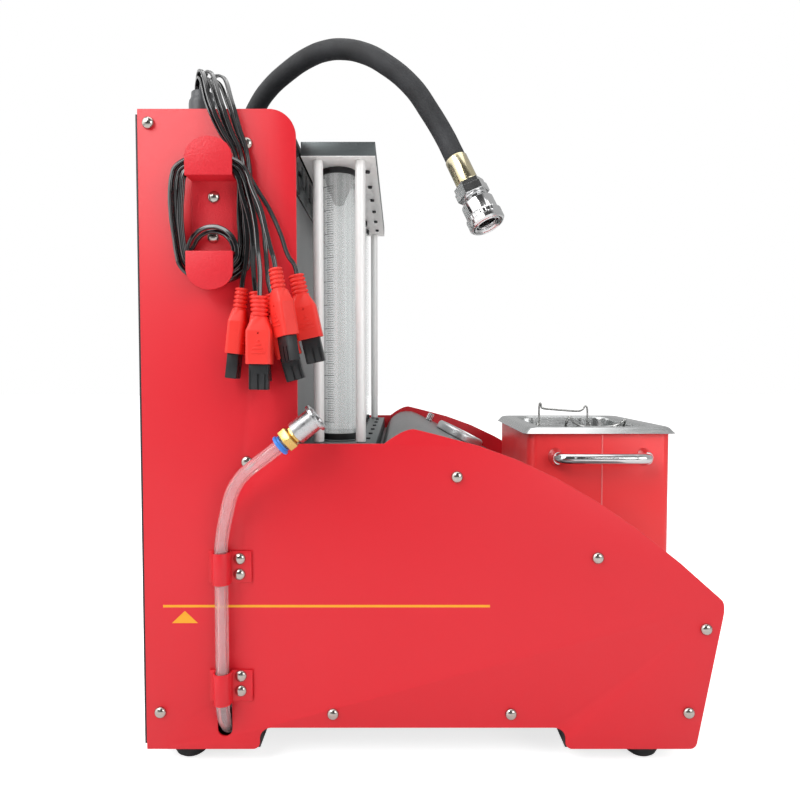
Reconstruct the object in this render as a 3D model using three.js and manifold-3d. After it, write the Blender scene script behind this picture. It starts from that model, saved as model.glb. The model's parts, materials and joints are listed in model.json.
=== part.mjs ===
// Benchtop fuel injector tester, in millimetres, +Z up, +X to the machine's front.
// Pieces are placed from the rear edge of the side panels (x), the outer face of the left panel (y)
// and the surface the feet stand on (z). The finished machine is then centred over the origin.
import * as THREE from 'three';
import { mergeVertices } from 'three/addons/utils/BufferGeometryUtils.js';
import Module from 'manifold-3d';

const wasm = await Module();
wasm.setup();

// Clearances and stock
const GAP = 0.3; // between pieces that touch
const OVERRUN = 2; // how far a cutting solid runs past what it cuts
const PANEL_SHEET = 2;
const SHEET = 1.5;
const WELD = 0.0001;
const CURVE_DIVISIONS = 40; // to each point of a route, when its length is measured

// Whole machine
const WIDTH = 340;
const SIDE_HEIGHT = 483;
const FOOT_HEIGHT = 14;
const COLUMN_DEPTH = 117;
const COLUMN_CORNER = 20;

// Side panel outline, heights from the panel's bottom edge
const SHELF_HEIGHT = 235;
const HUMP_FOOT_X = 182;
const HUMP_X = 204;
const HUMP_RISE = 11; // of the hump's crest above the shelf
const HUMP_RISE_ANGLE = 38;
const HUMP_FALL_ANGLE = 15;
const SLOPE_TOP_X = 253;
const SLOPE_TOP_DROP = 1.5; // below the shelf
const SLOPE_TOP_ANGLE = 17;
const NOSE_X = 438.5;
const NOSE_HEIGHT = 116;
const NOSE_ANGLE = 43;
const CHIN_X = 440;
const CHIN_HEIGHT = 102;
const TOE_X = 421;
const TOE_CORNER = 5;
const ARCH_START_X = 86.5;
const ARCH_END_X = 321;
const ARCH_HEIGHT = 16.6;
const ARCH_FILLET = 9;
const ARCH_LIP = 5;

// Feet
const FOOT_RADIUS = 13;
const FOOT_PAD_RADIUS = 7;
const FOOT_PAD_CURVE = 5;
const FOOT_SHOULDER = 8;
const FOOT_INSET_Y = 22;
const FOOT_REAR_X = 28;
const FOOT_FRONT_X = 386;

// Covers
const BACK_COVER_THICKNESS = 2.2;
const BACK_COVER_INSET = 3;
const VENT_COUNT = 9;
const VENT_WIDTH = 3;
const VENT_LENGTH = 70;
const VENT_PITCH = 9;
const VENT_TOP_HEIGHT = 440;
const TOP_COVER_DROP = 2;
const DISPLAY_HEIGHT = 33;
const DISPLAY_TOP_DROP = 26;
const DISPLAY_THICKNESS = 3;
const COLUMN_PANEL_SETBACK = 2;
const TRAY_FLANGE = 26;

// Front cover: trough, hump and control slope
const TROUGH_DROP = 15.5; // below the side panel's shelf
const COVER_HUMP_DROP = 5.5; // below the side panel's hump
const COVER_HUMP_RADIUS = 26;
const COVER_HUMP_START = 170;
const CONTROL_SLOPE = 26.6;
const CONTROL_END_X = 398;
const COVER_NOSE_INSET = 7;
const COVER_TOE_INSET = 5;

// Bay for the bath
const BAY_X = 312;
const BAY_Y = 98;
const BAY_FLOOR_HEIGHT = 19; // above the side panel's bottom edge
const BAY_WALL_DROP = 6;

// Measuring rack
const RACK_LENGTH_INSET = 18;
const RACK_DEPTH = 57;
const RACK_STANDOFF = 1;
const RACK_TOP_DROP = 18; // of its top face below the side panels' top edge
const RACK_PLATE = 11.3;
const RACK_BASE = 13.5;
const TUBE_COUNT = 6;
const TUBE_PITCH = 46;
const TUBE_RADIUS = 13.4;
const TUBE_WALL = 2;
const TUBE_X = 26; // from the rack's rear edge
const INJECTOR_HOLE_RADIUS = 6;
const PIN_HOLE_RADIUS = 2;
const PIN_HOLE_INSET = 8;
const PILLAR_RADIUS = 4;
const PILLAR_INSET_X = 12;
const PILLAR_INSET_Y = 9;

// Cable winder
const WINDER_X = 57.2;
const WINDER_WIDTH = 34;
const WINDER_SHEET = 1.8;
const WINDER_REACH = 19;
const WINDER_LOW_HEIGHT = 374; // lower arm, above the side panel's bottom edge
const WINDER_ARM_SPACING = 57.2;
const WINDER_EAR_FLAT = 13.7;
const WINDER_EAR_CURVE = 14;

// Injector leads on the winder
const LEAD_COUNT = 6;
const LEAD_RADIUS = 1.6;
const LEAD_PITCH = 3.78; // from lane to lane, away from the panel
const COLUMN_PITCH = 3.9; // from column to column, beside the winder
const LEAD_SIDES = 6;
const LEAD_FIRST_LANE = 4; // from the panel's face to the first lead's centre
const LEAD_TURN_RADIUS = 19.2;
const LANE_CHANGE_START = 1 / 6; // of the half turn that a lead crosses lanes in
const LEAD_TURN_STEPS = 16;
const LEAD_BULGE = 2.5;
const LEAD_BULGE_SHARE = 0.62; // of the bulge, on its way there and back
const LEAD_FLATTENING = 7; // of a turn's outer side, where it lies on the arm
const APPROACH_SHARE = 0.29; // of its way from the neck that a lead still has to go beside the upper arm's top
const LEAD_ROOT_RADIUS = 6.4;
const LEAD_ROOT_HEIGHT = 5;
const LEAD_ROOT_RING = 4.3;
const LEAD_ROOT_ANGLES = [-135, 165, -75, 105, -15, 45];
const INNER_BEND = [2.5, 4.1]; // the inner lane's first bend over the gland: how far along, how high
const OUTER_BEND = [2.4, 5.6];
const LEAD_LEAST_GAP = 0.4;
const LEAD_STEP = 5;

// Lead gland and hose gland, on the top cover
const LEAD_GLAND_X = 41;
const LEAD_GLAND_Y = 25;
const LEAD_GLAND_RADIUS = 10;
const LEAD_GLAND_HEIGHT = 23;
const LEAD_GLAND_SHOULDER = 16;
const LEAD_GLAND_NECK = 8;
const HOSE_GLAND_X = 54;
const HOSE_GLAND_Y = 122;
const HOSE_GLAND_RADIUS = 14;
const HOSE_GLAND_HEIGHT = 13;

// Fuel hose and quick coupler
const HOSE_RADIUS = 8;
const HOSE_SIDES = 12;
const HOSE_STEPS = 22;
const COUPLER_SIDES = 20;
const FERRULE_RADIUS = 8.6;
const FERRULE_LENGTH = 23.5;
const COUPLER_HEX_RADIUS = 12.5;
const COUPLER_HEX_LENGTH = 11;
const COUPLER_COLLAR_RADIUS = 10;
const COUPLER_COLLAR_LENGTH = 2;
const SPIGOT_RADIUS = 8;
const SPIGOT_LENGTH = 22;
const COUPLER_BORE_RADIUS = 6;
const COUPLER_BORE_DEPTH = 19;
const SLEEVE_TRAVEL = 3;
const SLEEVE_RADIUS = 12.5;
const SLEEVE_RING_RADIUS = 13.9;
const SLEEVE_RING_LENGTH = 10;
const SLEEVE_LENGTH = 20.8;
const SLEEVE_CHAMFER = 1.2;
const RUNNING_GAP = 0.35;

// Drain hose, its clips and its cup
const DRAIN_RADIUS = 5;
const DRAIN_SIDES = 10;
const DRAIN_STEPS = 28;
const DRAIN_X = 60;
const SLOT_WIDTH = 11.2;
const SLOT_BOTTOM_HEIGHT = 10;
const SLOT_TOP_HEIGHT = 42;
const CLIP_SHEET = 1.2;
const CLIP_WIDTH = 24;
const CLIP_SHORT_FLANGE = 4;
const CLIP_LONG_FLANGE = 15;
const CLIP_LOW_HEIGHT = 50.5;
const CLIP_HIGH_HEIGHT = 142;
const CLIP_CLEARANCE = 0.6;
const COLLAR_RADIUS = 7.8;
const COLLAR_RING = 2;
const COLLAR_LENGTH = 4;
const COLLAR_TRAVEL = 1;
const FITTING_HEX_RADIUS = 9.6;
const FITTING_LENGTH = 9.5;
const CUP_RADIUS = 8.6;
const CUP_RIM_RADIUS = 10.8;
const CUP_RIM_LENGTH = 2.6;
const CUP_LENGTH = 20;
const CUP_WALL = 1.2;
const CUP_FLOOR = 2.5;
const CUP_SIDES = 24;

// Injector plugs
const PLUG_NECK_LENGTH = 22;
const PLUG_NECK_WIDTH = 9;
const PLUG_NECK_FLARE = 1.12;
const PLUG_BOOT_LENGTH = 48;
const PLUG_BOOT_WIDTH = 18.4;
const PLUG_BOOT_DEPTH = 12;
const PLUG_SHOULDER = 9;
const PLUG_TIP_LENGTH = 18;
const PLUG_TIP_WIDTH = 13.6;
const PLUG_TIP_DEPTH = 8.4;

// Pressure gauge and knob, on the control slope
const GAUGE_X = 259;
const GAUGE_Y = 249;
const GAUGE_RADIUS = 27;
const GAUGE_HEIGHT = 9;
const GAUGE_BEZEL = 4;
const GAUGE_RECESS = 5;
const GAUGE_SIDES = 32;
const NEEDLE_LENGTH = 18;
const NEEDLE_TAIL = 6;
const NEEDLE_WIDTH = 1.6;
const NEEDLE_THICKNESS = 0.8;
const NEEDLE_HUB_RADIUS = 3;
const NEEDLE_REST_ANGLE = -45; // from the slope's fall line, at the dial's zero
const KNOB_X = 228;
const KNOB_Y = 300;
const KNOB_RADIUS = 4;
const KNOB_HEIGHT = 9;
const KNOB_SKIRT = 3.2;
const KNOB_STEP = 1.4;

// Mains inlet with its rocker switch, on the back cover
const INLET_Y = 62;
const INLET_HEIGHT = 90; // centre, above the side panel's bottom edge
const INLET_FLANGE_WIDTH = 32;
const INLET_FLANGE_HEIGHT = 62;
const INLET_FLANGE = 3;
const INLET_BODY_WIDTH = 27;
const INLET_BODY_HEIGHT = 48;
const INLET_BODY_DEPTH = 22;
const SOCKET_WIDTH = 22.5;
const SOCKET_HEIGHT = 16;
const SOCKET_DEPTH = 15;
const SOCKET_DROP = 13;
const ROCKER_WIDTH = 18;
const ROCKER_REACH = 7.6;
const ROCKER_PROUD = 3.4;
const ROCKER_RISE = 14;
const ROCKER_POCKET_DEPTH = 10;
const ROCKER_PIVOT_DEPTH = 0.5;
const ROCKER_TILT = 8;

// Ultrasonic bath
const BATH_X = 315.4;
const BATH_Y = 132;
const BATH_WIDTH = 136;
const BATH_LENGTH = 172;
const BATH_CORNER = 9;
const BATH_TOP_HEIGHT = 230.4; // housing's top edge, above the side panel's bottom edge
const BATH_SHEET = 1.2;
const RIM_OVERHANG = 4.5;
const RIM_HEIGHT = 6.2;
const RIM_CORNER = 8;
const BASIN_INSET_X = 14;
const BASIN_INSET_Y = 14;
const BASIN_CORNER = 16;
const BASIN_DEPTH = 100;
const HANDLE_SPAN = 84;
const HANDLE_RADIUS = 5;
const HANDLE_REACH = 18;
const HANDLE_BEND = 9;
const HANDLE_CORNER_SHARE = 0.3; // how far a bend's middle stays inside its corner
const HANDLE_DROP = 22; // below the housing's top edge
const HANDLE_SIDES = 10;
const HANDLE_STEPS = 22;

// Basket and its two bails
const BASKET_GAP_X = 5;
const BASKET_GAP_Y = 12;
const BASKET_HEIGHT = 86;
const BASKET_SHEET = 1.2;
const BASKET_CORNER = 12;
const BAIL_WIRE = 1.2;
const BAIL_HALF_WIDTH = 28;
const BAIL_POST = 20;
const BAIL_EAR = 26;
const BAIL_LOOP = 4; // width of the loop at each upper corner
const BAIL_DIP = 18;
const BAIL_SEAT = 1.9; // the bail's foot above the basket's edge
const NEAR_BAIL_LEAN = 42;
const BAIL_STEPS = 30;
const LUG_THICKNESS = 2;
const LUG_WIDTH = 5;
const LUG_HEIGHT = 4.4; // above the basket's edge

// Inside the machine
const TANK_X = 30;
const TANK_LENGTH = 205;
const TANK_END_GAP = 16;
const TANK_HEIGHT = 117;
const PUMP_X = 262;
const PUMP_Y = 60;
const PUMP_RADIUS = 19;
const PUMP_NECK_RADIUS = 8;
const PUMP_NECK_LENGTH = 14;
const PUMP_LENGTH = 96;
const BOARD_Y = 110;
const BOARD_HEIGHT = 250; // lower edge, above the side panel's bottom edge
const BOARD_WIDTH = 140;
const BOARD_TALL = 150;
const BOARD_THICKNESS = 1.6;
const BOARD_STANDOFF = 11;
const STANDOFF_RADIUS = 3;
const STANDOFF_INSET = 8;
const BOARD_PARTS_DEPTH = 28;

// Levels and places that follow from the sizes above
const PANEL_BOTTOM = FOOT_HEIGHT;
const PANEL_TOP = PANEL_BOTTOM + SIDE_HEIGHT;
const SHELF_Z = PANEL_BOTTOM + SHELF_HEIGHT;
const HUMP_Z = SHELF_Z + HUMP_RISE;
const INNER_NEAR = PANEL_SHEET + GAP;
const INNER_FAR = WIDTH - PANEL_SHEET - GAP;
const COVER_TOP = PANEL_TOP - TOP_COVER_DROP;
const TROUGH_Z = SHELF_Z - TROUGH_DROP;
const TRAY_LOW_Z = PANEL_BOTTOM + GAP;
const TRAY_HIGH_Z = PANEL_BOTTOM + ARCH_HEIGHT + GAP;
const BAY_FLOOR_Z = PANEL_BOTTOM + BAY_FLOOR_HEIGHT;
const RACK_X = COLUMN_DEPTH + RACK_STANDOFF;
const RACK_TOP_Z = PANEL_TOP - RACK_TOP_DROP;
const RACK_BASE_Z = TROUGH_Z + GAP;
const TUBE_BOTTOM_Z = RACK_BASE_Z + RACK_BASE + GAP;
const TUBE_TOP_Z = RACK_TOP_Z - RACK_PLATE - GAP;
const BATH_BOTTOM_Z = BAY_FLOOR_Z + SHEET + GAP;
const BATH_TOP_Z = PANEL_BOTTOM + BATH_TOP_HEIGHT;
const RIM_BOTTOM_Z = BATH_TOP_Z + GAP;
const RIM_TOP_Z = RIM_BOTTOM_Z + RIM_HEIGHT;
const BASIN_FLOOR_Z = RIM_TOP_Z - BASIN_DEPTH;
const BASKET_BOTTOM_Z = BASIN_FLOOR_Z + BATH_SHEET + GAP;
const BASKET_TOP_Z = BASKET_BOTTOM_Z + BASKET_HEIGHT;
const DRAIN_Y = -(DRAIN_RADIUS + 2 * GAP);
const WINDER_LOW_Z = PANEL_BOTTOM + WINDER_LOW_HEIGHT;
const WINDER_HIGH_Z = WINDER_LOW_Z + WINDER_ARM_SPACING;
const GLAND_Z = COVER_TOP + GAP;

// Routes, chosen by hand. The fuel hose runs from its gland to the crimped ferrule.
const HOSE_ROUTE = [
  [54, 122, 508.3], [54, 122, 512], [54.6, 121.4, 520], [58, 118.6, 531], [65.3, 113, 542], [76.6, 104, 552.4],
  [97.3, 88, 562.2], [118.2, 72, 567.2], [133, 62, 567.6], [147.9, 53, 564.6], [164.9, 44, 557.4],
  [180.5, 37, 546.8], [203.3, 31, 525.9], [217.6, 29.2, 505.2],
  [229.4, 26.2, 484.4], [234.1, 23.1, 473.6], [236.97, 21.1, 466.87],
];
const COUPLER_START = [237.08, 21.02, 466.6];
const COUPLER_AIM = [0.376, -0.269, -0.886];

// The drain hose, from behind the slot up through both clips to the fitting
const DRAIN_ROUTE = [
  [60, 9.5, 27], [60, 4.8, 31.5], [60, 0.4, 36.5], [60, -3.2, 42.5], [60, -5.2, 49], [60, -5.6, 56],
  [60, -5.6, 80], [60, -5.6, 110], [60, -5.6, 140], [60, -5.6, 160], [60, -5.6, 170], [61.4, -6.6, 181],
  [65.2, -9.6, 197], [70.9, -13.4, 215], [78.6, -16.6, 226.6], [87.6, -18.8, 234.6],
  [97.6, -19.9, 242.2], [104.14, -20, 247.35], [110.44, -20, 252.28],
];
const CUP_START = [106.5, -20, 249.2];
const CUP_AIM = [0.787, 0, 0.617];

// Each lead: the top of its arch and where it crosses the panel's top edge
const ARCH_TOPS = [
  [44.6, 7.6, 522.6], [45.6, 7, 527.6], [50.9, 7.2, 521.4], [51.6, 7.4, 527], [56.9, 8.6, 520.2],
  [59.8, 9.6, 524.6],
];
const EDGE_CROSSINGS = [
  [53.4, -2.8, 497.5], [56.6, -6.8, 497.5], [60.8, -2.8, 497.5], [64.6, -6.8, 497.5],
  [68.6, -2.8, 497.5], [72.3, -6.8, 497.5],
];
const NECK_CROSSINGS = [
  [62.6, -3.6, 478], [65.2, -7.4, 478], [68.6, -3.6, 478], [71.4, -7.4, 478], [75, -3.6, 478], [78, -7.4, 478],
];
// Each lead's tail, from the upper arm down to its plug
const LEAD_TAILS = [
  [[79.6, -12.1, 430], [82.4, -12.6, 412], [83.2, -12.4, 395], [81.2, -11.8, 378]],
  [[80.6, -16.2, 431], [86, -16.4, 412], [88, -15.2, 395], [87.6, -12.6, 378]],
  [[86.2, -12.1, 430], [94, -12, 412], [96, -10.6, 394], [96.8, -8.4, 378]],
  [[86, -17.2, 429], [90.8, -21, 410], [93.6, -25.6, 390], [95.6, -28, 370]],
  [[90.4, -12.1, 435.5], [99.8, -12.2, 420], [107.2, -10.6, 403], [112.6, -8.4, 387]],
  [[88.2, -18.4, 435], [95.2, -22.6, 419], [100, -27, 402], [103.8, -29.6, 388]],
];
// Each plug: where its lead enters, its lean from upright and its turn about its own length
const PLUGS = [
  { top: [78.9, -11.5, 364], lean: -6.5, turn: 90 },
  { top: [88.7, -11.5, 361.5], lean: 5.5, turn: 90 },
  { top: [99.6, -7.6, 360.7], lean: 15.8, turn: 0 },
  { top: [95.4, -28.5, 356.5], lean: -0.8, turn: 0 },
  { top: [117.9, -7.6, 374.4], lean: 12.6, turn: 0 },
  { top: [106.6, -30, 375.7], lean: 9.2, turn: -52 },
];

// Finishes
const RED_PAINT = { color: 0xd92b35, roughness: 0.45, metalness: 0 };
const GREY_PAINT = { color: 0x8f8f8f, roughness: 0.4, metalness: 0.3 };
const DARK_PAINT = { color: 0x2f3134, roughness: 0.5, metalness: 0.2 };
const BLACK_GLOSS = { color: 0x17181a, roughness: 0.15, metalness: 0 };
const BLACK_RUBBER = { color: 0x1d1f21, roughness: 0.7, metalness: 0 };
const BLACK_PLASTIC = { color: 0x202225, roughness: 0.45, metalness: 0 };
const RED_PLASTIC = { color: 0xe8352f, roughness: 0.5, metalness: 0 };
const BLUE_PLASTIC = { color: 0x2f7fe0, roughness: 0.4, metalness: 0 };
const STEEL = { color: 0xb9babb, roughness: 0.3, metalness: 1 };
const CHROME = { color: 0xd8d8d8, roughness: 0.08, metalness: 1 };
const ANODISED = { color: 0x5c6163, roughness: 0.4, metalness: 0.9 };
const BRASS = { color: 0xd0a257, roughness: 0.3, metalness: 1 };
const CLEAR = { color: 0xe6ecec, roughness: 0.05, metalness: 0, transparent: true, opacity: 0.35 };
const CLEAR_HOSE = { color: 0xf0c9cb, roughness: 0.15, metalness: 0, transparent: true, opacity: 0.6 };
const GREEN_BOARD = { color: 0x1f5b3a, roughness: 0.5, metalness: 0 };

// Welds a geometry's shared corners and drops slivers with no area
function weld(geometry) {
  const bare = geometry.clone();
  bare.deleteAttribute('normal');
  bare.deleteAttribute('uv');
  const welded = mergeVertices(bare, WELD);
  const corners = welded.index.array;
  const kept = [];
  for (let i = 0; i < corners.length; i += 3) {
    const [a, b, c] = [corners[i], corners[i + 1], corners[i + 2]];
    if (a !== b && b !== c && c !== a) kept.push(a, b, c);
  }
  welded.setIndex(kept);
  return welded;
}

function volume(geometry) {
  const places = geometry.attributes.position;
  const corners = geometry.index.array;
  const [a, b, c] = [new THREE.Vector3(), new THREE.Vector3(), new THREE.Vector3()];
  let total = 0;
  for (let i = 0; i < corners.length; i += 3) {
    a.fromBufferAttribute(places, corners[i]);
    b.fromBufferAttribute(places, corners[i + 1]);
    c.fromBufferAttribute(places, corners[i + 2]);
    total += a.dot(b.cross(c));
  }
  return total;
}

// A welded geometry whose faces all look outwards
function outward(geometry) {
  const welded = weld(geometry);
  if (volume(welded) < 0) {
    const corners = welded.index.array;
    for (let i = 0; i < corners.length; i += 3) {
      [corners[i], corners[i + 1]] = [corners[i + 1], corners[i]];
    }
  }
  return welded;
}

function toSolid(geometry) {
  const welded = outward(geometry);
  return new wasm.Manifold(new wasm.Mesh({
    numProp: 3,
    vertProperties: new Float32Array(welded.attributes.position.array),
    triVerts: new Uint32Array(welded.index.array),
  }));
}

function toGeometry(body) {
  const mesh = body.getMesh();
  const geometry = new THREE.BufferGeometry();
  geometry.setAttribute('position', new THREE.BufferAttribute(new Float32Array(mesh.vertProperties), 3));
  geometry.setIndex(new THREE.BufferAttribute(new Uint32Array(mesh.triVerts), 1));
  return geometry;
}

function join(first, ...others) {
  return toGeometry(others.reduce((body, other) => body.add(toSolid(other)), toSolid(first)));
}

function cut(first, ...tools) {
  return toGeometry(tools.reduce((body, tool) => body.subtract(toSolid(tool)), toSolid(first)));
}

// A box between two opposite corners
function block(low, high) {
  const size = high.map((value, axis) => value - low[axis]);
  const centre = high.map((value, axis) => (value + low[axis]) / 2);
  return new THREE.BoxGeometry(...size).translate(...centre);
}

// A round bar from one point to another
function bar(radius, from, to, sides) {
  const [start, end] = [new THREE.Vector3(...from), new THREE.Vector3(...to)];
  const along = end.clone().sub(start);
  const turn = new THREE.Quaternion().setFromUnitVectors(new THREE.Vector3(0, 1, 0), along.clone().normalize());
  const geometry = new THREE.CylinderGeometry(radius, radius, along.length(), sides);
  geometry.applyQuaternion(turn);
  return geometry.translate(...start.add(end).divideScalar(2).toArray());
}

// A turned piece: its profile holds [radius, height] pairs from one end of the axis to the other
function turned(profile, sides) {
  const points = profile.map(([radius, height]) => new THREE.Vector2(radius, height));
  return new THREE.LatheGeometry(points, sides).rotateX(Math.PI / 2);
}

// A turned ring: its profile closes on itself and stays off the axis
function turnedRing(profile, sides) {
  return turned([...profile, profile[0]], sides);
}

function extruded(shape, thickness) {
  return new THREE.ExtrudeGeometry(shape, { depth: thickness, bevelEnabled: false, curveSegments: 6 });
}

// A plate whose outline is drawn in x and z, from y onwards
function plateXZ(shape, y, thickness) {
  const turn = new THREE.Matrix4().makeBasis(
    new THREE.Vector3(1, 0, 0), new THREE.Vector3(0, 0, 1), new THREE.Vector3(0, -1, 0));
  return extruded(shape, thickness).applyMatrix4(turn).translate(0, y + thickness, 0);
}

// A plate whose outline is drawn in x and y, from z upwards
function plateXY(shape, z, thickness) {
  return extruded(shape, thickness).translate(0, 0, z);
}

function outline(points) {
  return new THREE.Shape(points.map(([a, b]) => new THREE.Vector2(a, b)));
}

// A folded sheet's section: a line of folds, given thickness to its right-hand side
function fold(line, thickness) {
  const points = line.map(([a, b]) => new THREE.Vector2(a, b));
  const sides = points.slice(1).map((point, i) => {
    const along = point.clone().sub(points[i]).normalize();
    return new THREE.Vector2(along.y, -along.x);
  });
  const back = points.map((point, i) => {
    const before = sides[Math.max(i - 1, 0)];
    const after = sides[Math.min(i, sides.length - 1)];
    const mitre = before.clone().add(after).normalize();
    return point.clone().add(mitre.clone().multiplyScalar(thickness / mitre.dot(after)));
  });
  return new THREE.Shape([...points, ...back.reverse()]);
}

function roundedRectangle(x, y, width, length, corner) {
  const shape = new THREE.Shape();
  shape.absarc(x + width - corner, y + corner, corner, -Math.PI / 2, 0, false);
  shape.absarc(x + width - corner, y + length - corner, corner, 0, Math.PI / 2, false);
  shape.absarc(x + corner, y + length - corner, corner, Math.PI / 2, Math.PI, false);
  shape.absarc(x + corner, y + corner, corner, Math.PI, 1.5 * Math.PI, false);
  return shape;
}

// A smooth curve through a route's points
function smooth(route) {
  const points = route.map((point) => new THREE.Vector3(...point));
  const path = new THREE.CatmullRomCurve3(points, false, 'centripetal');
  path.arcLengthDivisions = CURVE_DIVISIONS * route.length;
  return path;
}

// A tube along a route, with its ends square to it
function tube(route, radius, sides, steps) {
  const path = smooth(route);
  const section = new THREE.Shape();
  for (let i = 0; i < sides; i++) {
    const angle = (2 * Math.PI * i) / sides;
    const corner = [radius * Math.cos(angle), radius * Math.sin(angle)];
    if (i === 0) section.moveTo(...corner);
    else section.lineTo(...corner);
  }
  return new THREE.ExtrudeGeometry(section, { steps, extrudePath: path, bevelEnabled: false });
}

// Where two lines meet, each given by a point and an angle in degrees
function meeting(first, firstAngle, second, secondAngle) {
  const [a, b] = [firstAngle, secondAngle].map(THREE.MathUtils.degToRad);
  const across = (second[0] - first[0]) * Math.sin(b) - (second[1] - first[1]) * Math.cos(b);
  const reach = across / Math.sin(b - a);
  return [first[0] + reach * Math.cos(a), first[1] + reach * Math.sin(a)];
}

const machine = new THREE.Group();
const cordPieces = [];

function add(name, geometry, finish, parent = machine) {
  const mesh = new THREE.Mesh(outward(geometry).toNonIndexed(), new THREE.MeshStandardMaterial(finish));
  mesh.geometry.computeVertexNormals();
  mesh.name = name;
  parent.add(mesh);
  return mesh;
}

function addOnCord(name, geometry, finish, parent = machine) {
  cordPieces.push(add(name, geometry, finish, parent));
}

// The side panels' shared outline: column, shelf, hump, long slope, nose and the arch between the feet
function sideOutline() {
  const arch = PANEL_BOTTOM + ARCH_HEIGHT;
  const hump = [HUMP_X, HUMP_Z];
  const humpFoot = [HUMP_FOOT_X, SHELF_Z];
  const slopeTop = [SLOPE_TOP_X, SHELF_Z - SLOPE_TOP_DROP];
  const nose = [NOSE_X, PANEL_BOTTOM + NOSE_HEIGHT];
  const chin = [CHIN_X, PANEL_BOTTOM + CHIN_HEIGHT];
  const toeSlope = (CHIN_X - TOE_X) / CHIN_HEIGHT;
  const shape = new THREE.Shape();
  shape.moveTo(0, PANEL_BOTTOM);
  shape.lineTo(ARCH_START_X - ARCH_LIP, PANEL_BOTTOM);
  shape.absarc(ARCH_START_X - ARCH_LIP, PANEL_BOTTOM + ARCH_LIP, ARCH_LIP, -Math.PI / 2, 0, false);
  shape.absarc(ARCH_START_X + ARCH_FILLET, arch - ARCH_FILLET, ARCH_FILLET, Math.PI, Math.PI / 2, true);
  shape.absarc(ARCH_END_X - ARCH_FILLET, arch - ARCH_FILLET, ARCH_FILLET, Math.PI / 2, 0, true);
  shape.absarc(ARCH_END_X + ARCH_LIP, PANEL_BOTTOM + ARCH_LIP, ARCH_LIP, Math.PI, 1.5 * Math.PI, false);
  shape.lineTo(TOE_X - TOE_CORNER, PANEL_BOTTOM);
  shape.quadraticCurveTo(TOE_X, PANEL_BOTTOM, TOE_X + TOE_CORNER * toeSlope, PANEL_BOTTOM + TOE_CORNER);
  shape.lineTo(...chin);
  const chinAngle = THREE.MathUtils.radToDeg(Math.atan2(CHIN_HEIGHT, CHIN_X - TOE_X));
  shape.quadraticCurveTo(...meeting(chin, chinAngle, nose, -NOSE_ANGLE), ...nose);
  shape.quadraticCurveTo(...meeting(nose, -NOSE_ANGLE, slopeTop, -SLOPE_TOP_ANGLE), ...slopeTop);
  shape.quadraticCurveTo(...meeting(slopeTop, -HUMP_FALL_ANGLE, hump, 0), ...hump);
  shape.quadraticCurveTo(...meeting(hump, 0, humpFoot, HUMP_RISE_ANGLE), ...humpFoot);
  shape.lineTo(COLUMN_DEPTH, SHELF_Z);
  shape.absarc(COLUMN_DEPTH - COLUMN_CORNER, PANEL_TOP - COLUMN_CORNER, COLUMN_CORNER, 0, Math.PI / 2, false);
  shape.lineTo(0, PANEL_TOP);
  return shape;
}

// The left panel also has the slot that the drain hose comes out of
function leftSidePanel() {
  const plain = plateXZ(sideOutline(), 0, PANEL_SHEET);
  const half = SLOT_WIDTH / 2;
  const slot = new THREE.Shape();
  slot.absarc(DRAIN_X, PANEL_BOTTOM + SLOT_TOP_HEIGHT - half, half, 0, Math.PI, false);
  slot.absarc(DRAIN_X, PANEL_BOTTOM + SLOT_BOTTOM_HEIGHT + half, half, Math.PI, 2 * Math.PI, false);
  return cut(plain, plateXZ(slot, -OVERRUN, PANEL_SHEET + 2 * OVERRUN));
}

function foot(x, y) {
  return turned([
    [0, 0], [FOOT_PAD_RADIUS, 0], [(FOOT_PAD_RADIUS + FOOT_RADIUS) / 2, FOOT_PAD_CURVE / 3],
    [FOOT_RADIUS, FOOT_SHOULDER], [FOOT_RADIUS, FOOT_HEIGHT], [0, FOOT_HEIGHT],
  ], 20).translate(x, y, 0);
}

// Tray: one sheet that steps up over the arch, with a flange at the back and at the front
function baseTray() {
  const toeSlope = (CHIN_X - TOE_X) / CHIN_HEIGHT;
  const rear = GAP + SHEET;
  const front = TOE_X - COVER_TOE_INSET - SHEET - GAP;
  const line = [
    [GAP, TRAY_LOW_Z + TRAY_FLANGE], [GAP, TRAY_LOW_Z], [ARCH_START_X, TRAY_LOW_Z],
    [ARCH_START_X + rear, TRAY_HIGH_Z], [ARCH_END_X - rear, TRAY_HIGH_Z], [ARCH_END_X, TRAY_LOW_Z],
    [front - toeSlope * TRAY_FLANGE, TRAY_LOW_Z],
  ];
  return plateXZ(fold(line.reverse(), SHEET), INNER_NEAR, INNER_FAR - INNER_NEAR);
}

function inletHole() {
  const z = PANEL_BOTTOM + INLET_HEIGHT;
  const [halfWidth, halfHeight] = [INLET_BODY_WIDTH / 2 + GAP, INLET_BODY_HEIGHT / 2 + GAP];
  return block([-BACK_COVER_THICKNESS - OVERRUN, INLET_Y - halfWidth, z - halfHeight],
    [OVERRUN, INLET_Y + halfWidth, z + halfHeight]);
}

// Flat sheet behind the side panels, with vent slots and the cut-out for the mains inlet
function backCover() {
  const sheet = block([-GAP - BACK_COVER_THICKNESS, BACK_COVER_INSET, PANEL_BOTTOM + BACK_COVER_INSET],
    [-GAP, WIDTH - BACK_COVER_INSET, PANEL_TOP - BACK_COVER_INSET]);
  const slots = [];
  for (let i = 0; i < VENT_COUNT; i++) {
    const z = PANEL_BOTTOM + VENT_TOP_HEIGHT - i * VENT_PITCH;
    slots.push(block([-GAP - BACK_COVER_THICKNESS - OVERRUN, (WIDTH - VENT_LENGTH) / 2, z - VENT_WIDTH],
      [OVERRUN, (WIDTH + VENT_LENGTH) / 2, z]));
  }
  return cut(sheet, inletHole(), ...slots);
}

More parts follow.
